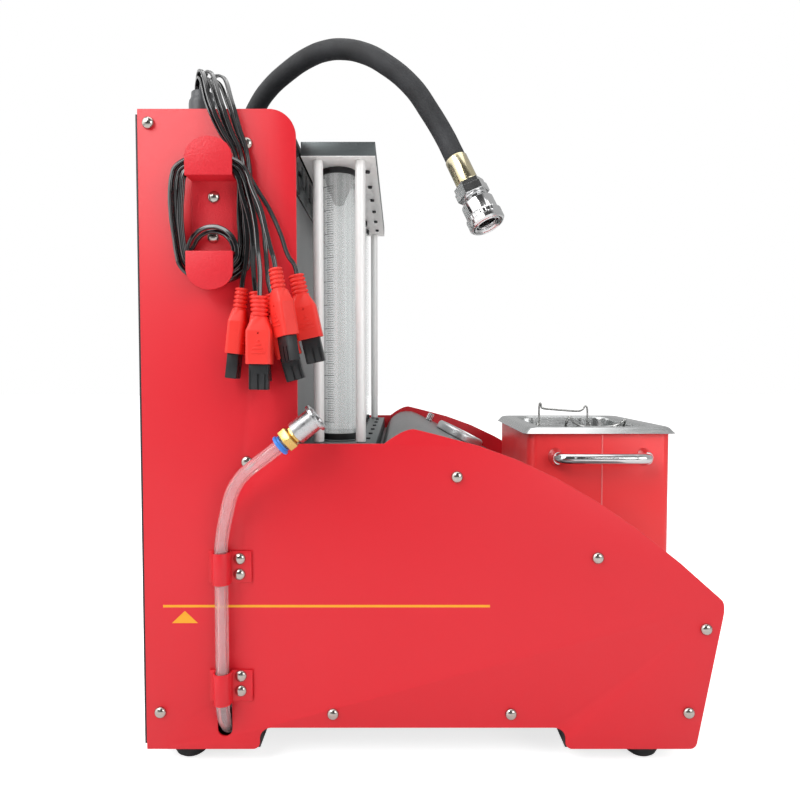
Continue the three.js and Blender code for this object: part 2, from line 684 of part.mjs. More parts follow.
// Top cover: flat over the column, then round the corner to the display
function topCover() {
  const radius = COLUMN_CORNER - TOP_COVER_DROP;
  const centre = [COLUMN_DEPTH - COLUMN_CORNER, PANEL_TOP - COLUMN_CORNER];
  const line = [[GAP, COVER_TOP]];
  for (let i = 0; i <= 5; i++) {
    const angle = ((5 - i) / 5) * (Math.PI / 2);
    line.push([centre[0] + radius * Math.cos(angle), centre[1] + radius * Math.sin(angle)]);
  }
  line.push([centre[0] + radius, PANEL_TOP - DISPLAY_TOP_DROP + GAP]);
  return plateXZ(fold(line, SHEET), INNER_NEAR, INNER_FAR - INNER_NEAR);
}

// Display and keypad panel, its lower edge rounded over
function displayPanel() {
  const front = COLUMN_DEPTH;
  const top = PANEL_TOP - DISPLAY_TOP_DROP;
  const bottom = top - DISPLAY_HEIGHT;
  const bead = DISPLAY_THICKNESS / 2;
  const shape = new THREE.Shape();
  shape.moveTo(front - DISPLAY_THICKNESS, top);
  shape.lineTo(front - DISPLAY_THICKNESS, bottom + bead);
  shape.absarc(front - bead, bottom + bead, bead, Math.PI, 2 * Math.PI, false);
  shape.lineTo(front, top);
  return plateXZ(shape, INNER_NEAR, INNER_FAR - INNER_NEAR);
}

function columnPanel() {
  const front = COLUMN_DEPTH - COLUMN_PANEL_SETBACK;
  const top = PANEL_TOP - DISPLAY_TOP_DROP - DISPLAY_HEIGHT - GAP;
  return block([front - SHEET, INNER_NEAR, TROUGH_Z], [front, INNER_FAR, top]);
}

// The front cover's section, from the column over trough, hump and slope to the toe
function coverLine() {
  const crest = HUMP_Z - COVER_HUMP_DROP;
  const centre = [HUMP_X - 1, crest - COVER_HUMP_RADIUS];
  const line = [[COLUMN_DEPTH - COLUMN_PANEL_SETBACK + GAP, TROUGH_Z]];
  const first = centre[0] + COVER_HUMP_RADIUS * Math.cos(THREE.MathUtils.degToRad(COVER_HUMP_START));
  line.push([first, TROUGH_Z]);
  const end = 90 - CONTROL_SLOPE;
  for (let i = 0; i <= 7; i++) {
    const angle = THREE.MathUtils.degToRad(COVER_HUMP_START + (end - COVER_HUMP_START) * (i / 7));
    const height = centre[1] + COVER_HUMP_RADIUS * Math.sin(angle);
    if (height > TROUGH_Z + SHEET) line.push([centre[0] + COVER_HUMP_RADIUS * Math.cos(angle), height]);
  }
  const [x, z] = line[line.length - 1];
  line.push([CONTROL_END_X, z - (CONTROL_END_X - x) * Math.tan(THREE.MathUtils.degToRad(CONTROL_SLOPE))]);
  line.push([NOSE_X - COVER_NOSE_INSET, PANEL_BOTTOM + NOSE_HEIGHT]);
  line.push([CHIN_X - COVER_NOSE_INSET, PANEL_BOTTOM + CHIN_HEIGHT]);
  line.push([TOE_X - COVER_TOE_INSET, PANEL_BOTTOM + GAP]);
  return line;
}

// Height of the cover's outer face on the control slope
function slopeHeight(x) {
  const line = coverLine();
  const [x0, z0] = line[line.length - 5];
  return z0 - (x - x0) * Math.tan(THREE.MathUtils.degToRad(CONTROL_SLOPE));
}

// Front cover: full width behind the bay, and only a strip on the left beside it
function frontCover() {
  const sheet = plateXZ(fold(coverLine(), SHEET), INNER_NEAR, INNER_FAR - INNER_NEAR);
  const bay = block([BAY_X, BAY_Y, 0], [CHIN_X + OVERRUN, WIDTH, PANEL_TOP]);
  return cut(sheet, bay);
}

// Bay: floor, rear wall and left wall of the space the bath stands in
function bathBay() {
  const rear = BAY_X + GAP;
  const near = BAY_Y + GAP;
  const top = slopeHeight(BAY_X) - BAY_WALL_DROP;
  const front = TOE_X - COVER_TOE_INSET;
  const toeSlope = (CHIN_X - TOE_X) / CHIN_HEIGHT;
  const floor = block([rear, near, BAY_FLOOR_Z], [front, INNER_FAR, BAY_FLOOR_Z + SHEET]);
  const rearWall = block([rear, near, BAY_FLOOR_Z], [rear + SHEET, INNER_FAR, top]);
  const wallOutline = outline([
    [rear, BAY_FLOOR_Z], [front, BAY_FLOOR_Z],
    [CHIN_X - 2 * COVER_NOSE_INSET, PANEL_BOTTOM + CHIN_HEIGHT - BAY_WALL_DROP],
    [CONTROL_END_X, slopeHeight(CONTROL_END_X) - BAY_WALL_DROP], [rear, top],
  ]);
  return join(floor, rearWall, plateXZ(wallOutline, near, SHEET));
}

function tubeY(i) {
  return WIDTH / 2 + (i - (TUBE_COUNT - 1) / 2) * TUBE_PITCH;
}

// Rack plate with rows of six holes, each row given by its distance from the rear edge and its radius
function rackPlate(z, thickness, rows) {
  const plate = block([RACK_X, RACK_LENGTH_INSET, z],
    [RACK_X + RACK_DEPTH, WIDTH - RACK_LENGTH_INSET, z + thickness]);
  const holes = [];
  for (const [inset, radius] of rows) {
    for (let i = 0; i < TUBE_COUNT; i++) {
      const [x, y] = [RACK_X + inset, tubeY(i)];
      const sides = radius > PIN_HOLE_RADIUS ? 16 : 8;
      holes.push(bar(radius, [x, y, z - OVERRUN], [x, y, z + thickness + OVERRUN], sides));
    }
  }
  return cut(plate, ...holes);
}

function rackTopPlate() {
  const rows = [[TUBE_X, INJECTOR_HOLE_RADIUS], [RACK_DEPTH - PIN_HOLE_INSET, PIN_HOLE_RADIUS]];
  return rackPlate(RACK_TOP_Z - RACK_PLATE, RACK_PLATE, rows);
}

function glassTube(i) {
  return turnedRing([
    [TUBE_RADIUS, TUBE_BOTTOM_Z], [TUBE_RADIUS, TUBE_TOP_Z],
    [TUBE_RADIUS - TUBE_WALL, TUBE_TOP_Z], [TUBE_RADIUS - TUBE_WALL, TUBE_BOTTOM_Z],
  ], 24).translate(RACK_X + TUBE_X, tubeY(i), 0);
}

function pillar(x, y) {
  return bar(PILLAR_RADIUS, [x, y, TUBE_BOTTOM_Z], [x, y, TUBE_TOP_Z], 14);
}

// One ear of the winder, flat at its root and rounded at its end; way is 1 upwards and -1 downwards
function winderEar(z, way) {
  const half = WINDER_WIDTH / 2;
  const shape = new THREE.Shape();
  shape.moveTo(WINDER_X - half, z);
  shape.lineTo(WINDER_X + half, z);
  const steps = 10;
  for (let i = 0; i <= steps; i++) {
    const angle = (Math.PI * i) / steps;
    const reach = WINDER_EAR_FLAT + WINDER_EAR_CURVE * Math.sin(angle);
    shape.lineTo(WINDER_X + half * Math.cos(angle), z + way * reach);
  }
  return plateXZ(shape, -WINDER_REACH, WINDER_SHEET);
}

// Cable winder: a strip on the panel, two arms that stand off it, and an ear on each arm
function cableWinder() {
  const half = WINDER_WIDTH / 2;
  const back = -GAP;
  const strip = block([WINDER_X - half, back - WINDER_SHEET, WINDER_LOW_Z],
    [WINDER_X + half, back, WINDER_HIGH_Z]);
  const lowArm = block([WINDER_X - half, -WINDER_REACH, WINDER_LOW_Z],
    [WINDER_X + half, back, WINDER_LOW_Z + WINDER_SHEET]);
  const highArm = block([WINDER_X - half, -WINDER_REACH, WINDER_HIGH_Z - WINDER_SHEET],
    [WINDER_X + half, back, WINDER_HIGH_Z]);
  return join(strip, lowArm, highArm, winderEar(WINDER_HIGH_Z - WINDER_SHEET, 1),
    winderEar(WINDER_LOW_Z + WINDER_SHEET, -1));
}

// Saddle clip over the drain hose, with a short lip on one side and a screwed flange on the other
function hoseClip(height) {
  const inner = DRAIN_RADIUS + CLIP_CLEARANCE;
  const base = -GAP - CLIP_SHEET;
  const line = [[DRAIN_X - inner - CLIP_SHEET - CLIP_SHORT_FLANGE, base], [DRAIN_X - inner, base]];
  for (let i = 0; i <= 8; i++) {
    const angle = Math.PI + (Math.PI * i) / 8;
    line.push([DRAIN_X + inner * Math.cos(angle), DRAIN_Y + inner * Math.sin(angle)]);
  }
  line.push([DRAIN_X + inner, base]);
  line.push([DRAIN_X + inner + CLIP_SHEET + CLIP_LONG_FLANGE, base]);
  const wall = CLIP_SHEET;
  line[0][1] = base + wall;
  line[1] = [DRAIN_X - inner, base + wall];
  line[line.length - 2] = [DRAIN_X + inner, base + wall];
  line[line.length - 1][1] = base + wall;
  return plateXY(fold(line, CLIP_SHEET), PANEL_BOTTOM + height - CLIP_WIDTH / 2, CLIP_WIDTH);
}

// A frame whose +Z looks along a direction from a point; pieces in it are built on their own axis
function aimed(start, aim) {
  const frame = new THREE.Group();
  frame.position.set(...start);
  frame.quaternion.setFromUnitVectors(new THREE.Vector3(0, 0, 1), new THREE.Vector3(...aim).normalize());
  machine.add(frame);
  return frame;
}

function ferrule() {
  const lip = FERRULE_RADIUS - HOSE_RADIUS;
  return turned([
    [0, 0], [FERRULE_RADIUS - lip, 0], [FERRULE_RADIUS, lip], [FERRULE_RADIUS, FERRULE_LENGTH - lip],
    [FERRULE_RADIUS - lip, FERRULE_LENGTH], [0, FERRULE_LENGTH],
  ], COUPLER_SIDES);
}

const HEX_START = FERRULE_LENGTH + GAP;
const COLLAR_START = HEX_START + COUPLER_HEX_LENGTH;
const SPIGOT_START = COLLAR_START + COUPLER_COLLAR_LENGTH;
const SPIGOT_END = SPIGOT_START + SPIGOT_LENGTH;
const SLEEVE_START = SPIGOT_START + SLEEVE_TRAVEL + GAP;
const SLEEVE_END = SLEEVE_START + SLEEVE_LENGTH;

// Coupler body: hexagon, round collar, and the spigot that the sleeve slides on, bored from its mouth
function couplerBody() {
  const hexagon = bar(COUPLER_HEX_RADIUS, [0, 0, HEX_START], [0, 0, COLLAR_START], 6);
  const barrel = turned([
    [0, COLLAR_START - OVERRUN], [COUPLER_COLLAR_RADIUS, COLLAR_START - OVERRUN],
    [COUPLER_COLLAR_RADIUS, SPIGOT_START], [SPIGOT_RADIUS, SPIGOT_START],
    [SPIGOT_RADIUS, SPIGOT_END], [0, SPIGOT_END],
  ], COUPLER_SIDES);
  const boreFloor = SPIGOT_END - COUPLER_BORE_DEPTH;
  const bore = bar(COUPLER_BORE_RADIUS, [0, 0, boreFloor], [0, 0, SPIGOT_END + OVERRUN], 16);
  return cut(join(hexagon, barrel), bore);
}

function couplerSleeve() {
  const inner = SPIGOT_RADIUS + RUNNING_GAP;
  return turnedRing([
    [inner, SLEEVE_START], [SLEEVE_RADIUS - SLEEVE_CHAMFER, SLEEVE_START],
    [SLEEVE_RADIUS, SLEEVE_START + SLEEVE_CHAMFER], [SLEEVE_RADIUS, SLEEVE_END - SLEEVE_RING_LENGTH],
    [SLEEVE_RING_RADIUS, SLEEVE_END - SLEEVE_RING_LENGTH + SLEEVE_CHAMFER],
    [SLEEVE_RING_RADIUS, SLEEVE_END - SLEEVE_CHAMFER], [SLEEVE_RING_RADIUS - SLEEVE_CHAMFER, SLEEVE_END],
    [inner, SLEEVE_END],
  ], COUPLER_SIDES);
}

// Push-in fitting: a release collar, a hexagon, and the open cup it is screwed to
function releaseCollar() {
  const inner = DRAIN_RADIUS + RUNNING_GAP;
  return turnedRing([
    [inner, 0], [COLLAR_RADIUS, 0], [COLLAR_RADIUS, COLLAR_RING],
    [COLLAR_RADIUS - COLLAR_RING / 2, COLLAR_LENGTH], [inner, COLLAR_LENGTH],
  ], CUP_SIDES);
}

const FITTING_START = COLLAR_LENGTH + COLLAR_TRAVEL + GAP;
const CUP_BASE = FITTING_START + FITTING_LENGTH + GAP;

function drainFitting() {
  return bar(FITTING_HEX_RADIUS, [0, 0, FITTING_START], [0, 0, FITTING_START + FITTING_LENGTH], 6);
}

function drainCup() {
  const top = CUP_BASE + CUP_LENGTH;
  const shoulder = FITTING_HEX_RADIUS - (CUP_RADIUS - CUP_WALL) / 4;
  return turned([
    [0, CUP_BASE], [Math.min(shoulder, CUP_RADIUS), CUP_BASE], [CUP_RADIUS, CUP_BASE + CUP_WALL],
    [CUP_RADIUS, top - CUP_RIM_LENGTH], [CUP_RIM_RADIUS, top - CUP_RIM_LENGTH], [CUP_RIM_RADIUS, top],
    [CUP_RADIUS - CUP_WALL, top], [CUP_RADIUS - CUP_WALL, CUP_BASE + CUP_FLOOR], [0, CUP_BASE + CUP_FLOOR],
  ], CUP_SIDES);
}

// Glands: the leads' is bored at its top, where their common root sits
function leadGland() {
  const bore = LEAD_ROOT_RADIUS + GAP;
  return turned([
    [0, 0], [LEAD_GLAND_RADIUS, 0], [LEAD_GLAND_RADIUS, LEAD_GLAND_SHOULDER],
    [LEAD_GLAND_NECK, LEAD_GLAND_HEIGHT], [bore, LEAD_GLAND_HEIGHT],
    [bore, LEAD_GLAND_HEIGHT - LEAD_ROOT_HEIGHT], [0, LEAD_GLAND_HEIGHT - LEAD_ROOT_HEIGHT],
  ], 20).translate(LEAD_GLAND_X, LEAD_GLAND_Y, GLAND_Z);
}

function hoseGland() {
  return turned([
    [0, 0], [HOSE_GLAND_RADIUS, 0], [HOSE_GLAND_RADIUS, HOSE_GLAND_HEIGHT / 2],
    [HOSE_RADIUS, HOSE_GLAND_HEIGHT - GAP], [0, HOSE_GLAND_HEIGHT - GAP],
  ], 20).translate(HOSE_GLAND_X, HOSE_GLAND_Y, GLAND_Z);
}

function laneY(lane) {
  return -(LEAD_FIRST_LANE + lane * LEAD_PITCH);
}

// Points on a turn about one arm of the winder, clockwise as seen from the front of the panel
function turnPoints(z, radius, from, to, laneFrom, laneTo) {
  const points = [];
  const steps = Math.max(1, Math.round((LEAD_TURN_STEPS * Math.abs(to - from)) / 360));
  for (let i = 0; i <= steps; i++) {
    const share = i / steps;
    const angle = THREE.MathUtils.degToRad(from + (to - from) * share);
    const change = THREE.MathUtils.clamp((share - LANE_CHANGE_START) / (1 - 2 * LANE_CHANGE_START), 0, 1);
    const lane = laneFrom + (laneTo - laneFrom) * change;
    const outer = Math.sin(angle) * (z - (WINDER_LOW_Z + WINDER_HIGH_Z) / 2) > 0;
    const height = outer ? radius - LEAD_FLATTENING : radius;
    points.push([WINDER_X + radius * Math.cos(angle), laneY(lane), z + height * Math.sin(angle)]);
  }
  return points;
}

// One lead's whole route: gland, arch, down beside the ears, round the winder, and its tail
function leadRoute(i) {
  const column = Math.floor(i / 2);
  const lane = i % 2;
  const radius = LEAD_TURN_RADIUS + column * COLUMN_PITCH;
  const angle = THREE.MathUtils.degToRad(LEAD_ROOT_ANGLES[i]);
  const ring = LEAD_ROOT_RING;
  const root = [LEAD_GLAND_X + ring * Math.cos(angle), LEAD_GLAND_Y + ring * Math.sin(angle)];
  const rootTop = GLAND_Z + LEAD_GLAND_HEIGHT;
  const heading = new THREE.Vector2(ARCH_TOPS[i][0] - root[0], ARCH_TOPS[i][1] - root[1]).normalize();
  const [along, rise] = lane === 0 ? INNER_BEND : OUTER_BEND;
  const side = WINDER_X + radius;
  const [lowZ, highZ] = [WINDER_LOW_Z + WINDER_SHEET / 2, WINDER_HIGH_Z - WINDER_SHEET / 2];
  const middle = (lowZ + highZ) / 2;
  const route = [
    [...root, rootTop - LEAD_RADIUS],
    [root[0] + along * heading.x, root[1] + along * heading.y, rootTop + rise],
    ARCH_TOPS[i], EDGE_CROSSINGS[i], NECK_CROSSINGS[i],
    [side - APPROACH_SHARE * (side - NECK_CROSSINGS[i][0]), laneY(lane), highZ + LEAD_TURN_RADIUS],
    [side, laneY(lane), highZ], [side, laneY(lane), middle],
  ];
  route.push(...turnPoints(lowZ, radius, 0, -180, lane, lane));
  let upLane = lane;
  if (column === 0) {
    route.push(...turnPoints(lowZ, radius, -180, -360, lane, lane + 2).slice(1));
    route.push(...turnPoints(lowZ, radius, -360, -540, lane + 2, lane + 2).slice(1));
    upLane = lane + 2;
  }
  const far = WINDER_X - radius;
  const bulge = LEAD_BULGE * LEAD_BULGE_SHARE;
  route.push([far - bulge, laneY(upLane), lowZ + 3 * LEAD_PITCH]);
  route.push([far - LEAD_BULGE, laneY((upLane + lane + 2) / 2), middle]);
  route.push([far - bulge, laneY(lane + 2), highZ - 3 * LEAD_PITCH]);
  route.push(...turnPoints(highZ, radius, 180, 8, lane + 2, lane + 2));
  route.push(...LEAD_TAILS[i], entry(PLUGS[i], LEAD_PITCH * 2), entry(PLUGS[i], GAP));
  return route;
}

// A point above a plug's top, on the plug's own axis
function entry(plug, reach) {
  const lean = THREE.MathUtils.degToRad(plug.lean);
  return [plug.top[0] - reach * Math.sin(lean), plug.top[1], plug.top[2] + reach * Math.cos(lean)];
}

// All six leads leave one root, which sits in the gland
function injectorLeads() {
  const bottom = GLAND_Z + LEAD_GLAND_HEIGHT - LEAD_ROOT_HEIGHT + GAP;
  const root = bar(LEAD_ROOT_RADIUS, [LEAD_GLAND_X, LEAD_GLAND_Y, bottom],
    [LEAD_GLAND_X, LEAD_GLAND_Y, GLAND_Z + LEAD_GLAND_HEIGHT], 14);
  const leads = [];
  for (let i = 0; i < LEAD_COUNT; i++) {
    const route = leadRoute(i);
    leads.push(tube(route, LEAD_RADIUS, LEAD_SIDES, Math.round(smooth(route).getLength() / LEAD_STEP)));
  }
  return join(root, ...leads);
}

// Least clear gap between the leads' surfaces, and within each lead, measured on their centre lines
function leastLeadGap() {
  const spacing = LEAD_RADIUS;
  const lines = [];
  for (let i = 0; i < LEAD_COUNT; i++) {
    const curve = smooth(leadRoute(i));
    lines.push(curve.getSpacedPoints(Math.round(curve.getLength() / spacing)));
  }
  const freeFrom = Math.ceil((4 * LEAD_PITCH) / spacing);
  let least = Infinity;
  let where = '';
  lines.forEach((line, a) => lines.slice(a).forEach((other, offset) => {
    for (let i = freeFrom; i < line.length; i++) {
      for (let j = offset === 0 ? i + freeFrom : freeFrom; j < other.length; j++) {
        const gap = line[i].distanceTo(other[j]) - 2 * LEAD_RADIUS;
        if (gap < least) {
          least = gap;
          where = `leads ${a + 1} and ${a + offset + 1} at ${line[i].toArray().map(Math.round)}`;
        }
      }
    }
  }));
  return `least gap between leads ${least.toFixed(2)} mm (${where}), wanted over ${LEAD_LEAST_GAP} mm`;
}

// A solid through rectangles stacked down its axis: each is [depth, half width, half thickness]
function stacked(sections) {
  const shapeCorners = [[1, 1], [-1, 1], [-1, -1], [1, -1]];
  const places = [];
  sections.forEach(([depth, halfWidth, halfDepth]) => {
    shapeCorners.forEach(([a, b]) => places.push(a * halfWidth, b * halfDepth, -depth));
  });
  const faces = [];
  const last = (sections.length - 1) * 4;
  for (let ring = 0; ring < last; ring += 4) {
    for (let i = 0; i < 4; i++) {
      const [a, b] = [ring + i, ring + ((i + 1) % 4)];
      faces.push(a, b + 4, b, a, a + 4, b + 4);
    }
  }
  faces.push(0, 1, 2, 0, 2, 3, last, last + 2, last + 1, last, last + 3, last + 2);
  const geometry = new THREE.BufferGeometry();
  geometry.setAttribute('position', new THREE.Float32BufferAttribute(places, 3));
  geometry.setIndex(faces);
  return geometry;
}

// Plug: a moulded boot with a slim neck, and the two-pin connector below it
function injectorPlug() {
  const neck = PLUG_NECK_WIDTH / 2;
  const [bootHalf, bootThick] = [PLUG_BOOT_WIDTH / 2, PLUG_BOOT_DEPTH / 2];
  const [tipHalf, tipThick] = [PLUG_TIP_WIDTH / 2, PLUG_TIP_DEPTH / 2];
  const end = PLUG_BOOT_LENGTH + PLUG_TIP_LENGTH;
  return stacked([
    [0, neck, neck], [PLUG_NECK_LENGTH, neck * PLUG_NECK_FLARE, neck * PLUG_NECK_FLARE],
    [PLUG_NECK_LENGTH + PLUG_SHOULDER, bootHalf, bootThick], [PLUG_BOOT_LENGTH, bootHalf, bootThick],
    [PLUG_BOOT_LENGTH + WELD, tipHalf, tipThick], [end, tipHalf, tipThick],
  ]);
}

function placePlug(mesh, plug) {
  mesh.rotation.set(0, -THREE.MathUtils.degToRad(plug.lean), 0);
  mesh.rotateZ(THREE.MathUtils.degToRad(plug.turn));
  mesh.position.set(...plug.top);
}

// Things on the control slope are built upright on their own axis, then set down on it
function onSlope(x, y) {
  const frame = new THREE.Group();
  const slope = THREE.MathUtils.degToRad(CONTROL_SLOPE);
  frame.position.set(x + GAP * Math.sin(slope), y, slopeHeight(x) + GAP * Math.cos(slope));
  frame.rotation.set(0, slope, 0);
  machine.add(frame);
  return frame;
}

// Gauge: a bezel round a recessed dial
function pressureGauge() {
  const dial = GAUGE_HEIGHT - GAUGE_RECESS;
  const lip = GAUGE_BEZEL / 3;
  return turned([
    [0, 0], [GAUGE_RADIUS, 0], [GAUGE_RADIUS, GAUGE_HEIGHT - lip], [GAUGE_RADIUS - lip, GAUGE_HEIGHT],
    [GAUGE_RADIUS - GAUGE_BEZEL, GAUGE_HEIGHT], [GAUGE_RADIUS - GAUGE_BEZEL, dial], [0, dial],
  ], GAUGE_SIDES);
}

function gaugeNeedle() {
  const low = GAUGE_HEIGHT - GAUGE_RECESS + GAP;
  const hub = bar(NEEDLE_HUB_RADIUS, [0, 0, low], [0, 0, low + 2 * NEEDLE_THICKNESS], 12);
  const pointer = outline([
    [-NEEDLE_TAIL, -NEEDLE_WIDTH], [NEEDLE_LENGTH, -NEEDLE_WIDTH / 4],
    [NEEDLE_LENGTH, NEEDLE_WIDTH / 4], [-NEEDLE_TAIL, NEEDLE_WIDTH],
  ]);
  return join(hub, plateXY(pointer, low + NEEDLE_THICKNESS / 4, NEEDLE_THICKNESS))
    .rotateZ(THREE.MathUtils.degToRad(NEEDLE_REST_ANGLE));
}

function pressureKnob() {
  return turned([
    [0, 0], [KNOB_SKIRT, 0], [KNOB_SKIRT, KNOB_STEP], [KNOB_RADIUS, 2 * KNOB_STEP],
    [KNOB_RADIUS, KNOB_HEIGHT - KNOB_STEP], [KNOB_SKIRT, KNOB_HEIGHT], [0, KNOB_HEIGHT],
  ], 18);
}

const INLET_FACE_X = -GAP - BACK_COVER_THICKNESS - GAP - INLET_FLANGE;
const INLET_Z = PANEL_BOTTOM + INLET_HEIGHT;
const ROCKER_Z = INLET_Z + ROCKER_RISE;

// Mains inlet: a flange on the back cover, a body through it, a socket and the rocker's pocket
function mainsInlet() {
  const [halfWidth, halfHeight] = [INLET_FLANGE_WIDTH / 2, INLET_FLANGE_HEIGHT / 2];
  const flange = block([INLET_FACE_X, INLET_Y - halfWidth, INLET_Z - halfHeight],
    [INLET_FACE_X + INLET_FLANGE, INLET_Y + halfWidth, INLET_Z + halfHeight]);
  const [bodyWidth, bodyHeight] = [INLET_BODY_WIDTH / 2, INLET_BODY_HEIGHT / 2];
  const body = block([INLET_FACE_X + INLET_FLANGE / 2, INLET_Y - bodyWidth, INLET_Z - bodyHeight],
    [INLET_BODY_DEPTH, INLET_Y + bodyWidth, INLET_Z + bodyHeight]);
  const socketZ = INLET_Z - SOCKET_DROP;
  const socket = block([INLET_FACE_X - OVERRUN, INLET_Y - SOCKET_WIDTH / 2, socketZ - SOCKET_HEIGHT / 2],
    [INLET_FACE_X + SOCKET_DEPTH, INLET_Y + SOCKET_WIDTH / 2, socketZ + SOCKET_HEIGHT / 2]);
  const reach = ROCKER_REACH + RUNNING_GAP + GAP;
  const pocket = block([INLET_FACE_X - OVERRUN, INLET_Y - ROCKER_WIDTH / 2 - RUNNING_GAP, ROCKER_Z - reach],
    [INLET_FACE_X + ROCKER_POCKET_DEPTH, INLET_Y + ROCKER_WIDTH / 2 + RUNNING_GAP, ROCKER_Z + reach]);
  return cut(join(flange, body), socket, pocket);
}

// Rocker: its ends stay on one radius about the pivot, so it clears its pocket as it turns
function rocker() {
  const shape = new THREE.Shape();
  const inner = Math.sqrt(ROCKER_REACH ** 2 - ROCKER_PROUD ** 2);
  shape.moveTo(-ROCKER_PROUD, inner);
  shape.lineTo(-ROCKER_PROUD / 2, 0);
  shape.lineTo(-ROCKER_PROUD, -inner);
  shape.absarc(0, 0, ROCKER_REACH, -Math.PI / 2, Math.PI / 2, false);
  return plateXZ(shape, -ROCKER_WIDTH / 2, ROCKER_WIDTH);
}

function placeRocker(mesh) {
  mesh.rotation.set(0, THREE.MathUtils.degToRad(ROCKER_TILT), 0);
  mesh.position.set(INLET_FACE_X + ROCKER_PIVOT_DEPTH, INLET_Y, ROCKER_Z);
}

// Bath housing: an open-topped folded box
function bathHousing() {
  const outer = roundedRectangle(BATH_X, BATH_Y, BATH_WIDTH, BATH_LENGTH, BATH_CORNER);
  const wall = BATH_SHEET;
  const inner = roundedRectangle(BATH_X + wall, BATH_Y + wall, BATH_WIDTH - 2 * wall,
    BATH_LENGTH - 2 * wall, BATH_CORNER - wall);
  return cut(plateXY(outer, BATH_BOTTOM_Z, BATH_TOP_Z - BATH_BOTTOM_Z),
    plateXY(inner, BATH_BOTTOM_Z + wall, BATH_TOP_Z - BATH_BOTTOM_Z + OVERRUN));
}

// Tank: a pressed rim that overhangs the housing, and the basin hanging from it
function bathTank() {
  const [x, y] = [BATH_X - RIM_OVERHANG, BATH_Y - RIM_OVERHANG];
  const rim = roundedRectangle(x, y, BATH_WIDTH + 2 * RIM_OVERHANG, BATH_LENGTH + 2 * RIM_OVERHANG, RIM_CORNER);
  const basin = (sheet) => {
    const [insetX, insetY] = [BASIN_INSET_X + sheet, BASIN_INSET_Y + sheet];
    return roundedRectangle(BATH_X + insetX, BATH_Y + insetY, BATH_WIDTH - 2 * insetX,
      BATH_LENGTH - 2 * insetY, BASIN_CORNER - sheet);
  };
  const body = join(plateXY(rim, RIM_BOTTOM_Z, RIM_HEIGHT),
    plateXY(basin(0), BASIN_FLOOR_Z, BASIN_DEPTH - RIM_HEIGHT / 2));
  return cut(body, plateXY(basin(BATH_SHEET), BASIN_FLOOR_Z + BATH_SHEET, BASIN_DEPTH));
}

// Bath handle: a round bar bent to a D; face is the housing face it stands on, way is outwards
function bathHandle(face, way) {
  const x = BATH_X + BATH_WIDTH / 2;
  const z = BATH_TOP_Z - HANDLE_DROP;
  const end = face + way * HANDLE_REACH;
  const corner = HANDLE_CORNER_SHARE * HANDLE_BEND;
  const side = (hand) => {
    const outer = x + hand * (HANDLE_SPAN / 2);
    return [
      [outer, face + way * GAP, z], [outer, end - way * HANDLE_BEND, z],
      [outer - hand * corner, end - way * corner, z], [outer - hand * HANDLE_BEND, end, z],
    ];
  };
  return tube([...side(-1), [x, end, z], ...side(1).reverse()], HANDLE_RADIUS, HANDLE_SIDES, HANDLE_STEPS);
}

const BASKET_INSET = [BASIN_INSET_X + BATH_SHEET + BASKET_GAP_X, BASIN_INSET_Y + BATH_SHEET + BASKET_GAP_Y];
const BASKET_LOW = [BATH_X + BASKET_INSET[0], BATH_Y + BASKET_INSET[1]];
const BASKET_SIZE = [BATH_WIDTH - 2 * BASKET_INSET[0], BATH_LENGTH - 2 * BASKET_INSET[1]];

// The four lugs that the bails' feet turn beside
function basketLugs() {
  const centre = BATH_X + BATH_WIDTH / 2;
  const inner = BAIL_HALF_WIDTH + BAIL_WIRE + GAP;
  const walls = [BASKET_LOW[1] + BASKET_SHEET / 2, BASKET_LOW[1] + BASKET_SIZE[1] - BASKET_SHEET / 2];
  return walls.flatMap((y) => [-inner - LUG_THICKNESS, inner].map((x) => block(
    [centre + x, y - LUG_WIDTH / 2, BASKET_TOP_Z - LUG_WIDTH],
    [centre + x + LUG_THICKNESS, y + LUG_WIDTH / 2, BASKET_TOP_Z + LUG_HEIGHT])));
}

function basket() {
  const wall = BASKET_SHEET;
  const outer = roundedRectangle(...BASKET_LOW, ...BASKET_SIZE, BASKET_CORNER);
  const inner = roundedRectangle(BASKET_LOW[0] + wall, BASKET_LOW[1] + wall,
    BASKET_SIZE[0] - 2 * wall, BASKET_SIZE[1] - 2 * wall, BASKET_CORNER - wall);
  const shell = cut(plateXY(outer, BASKET_BOTTOM_Z, BASKET_HEIGHT),
    plateXY(inner, BASKET_BOTTOM_Z + wall, BASKET_HEIGHT));
  return join(shell, ...basketLugs());
}

// Bail: one bent wire with two feet, two ears and a bar that dips in the middle
function bail() {
  const half = BAIL_HALF_WIDTH;
  const rise = (BAIL_POST + BAIL_EAR) / 2;
  const side = [
    [half, 0], [half, BAIL_POST / 2], [half, BAIL_POST], [half - BAIL_WIRE / 2, rise],
    [half - BAIL_LOOP / 2, BAIL_EAR], [half - BAIL_LOOP, rise],
    [half - 2 * BAIL_LOOP, BAIL_POST + BAIL_WIRE / 2],
  ];
  const route = side.map(([x, z]) => [-x, 0, z]);
  route.push([-half / 3, 0, BAIL_DIP], [half / 3, 0, BAIL_DIP]);
  route.push(...side.reverse().map(([x, z]) => [x, 0, z]));
  return tube(route, BAIL_WIRE, 6, BAIL_STEPS);
}

function placeBail(mesh, y, lean) {
  mesh.position.set(BATH_X + BATH_WIDTH / 2, y, BASKET_TOP_Z + BAIL_SEAT);
  mesh.rotation.set(THREE.MathUtils.degToRad(lean), 0, 0);
}

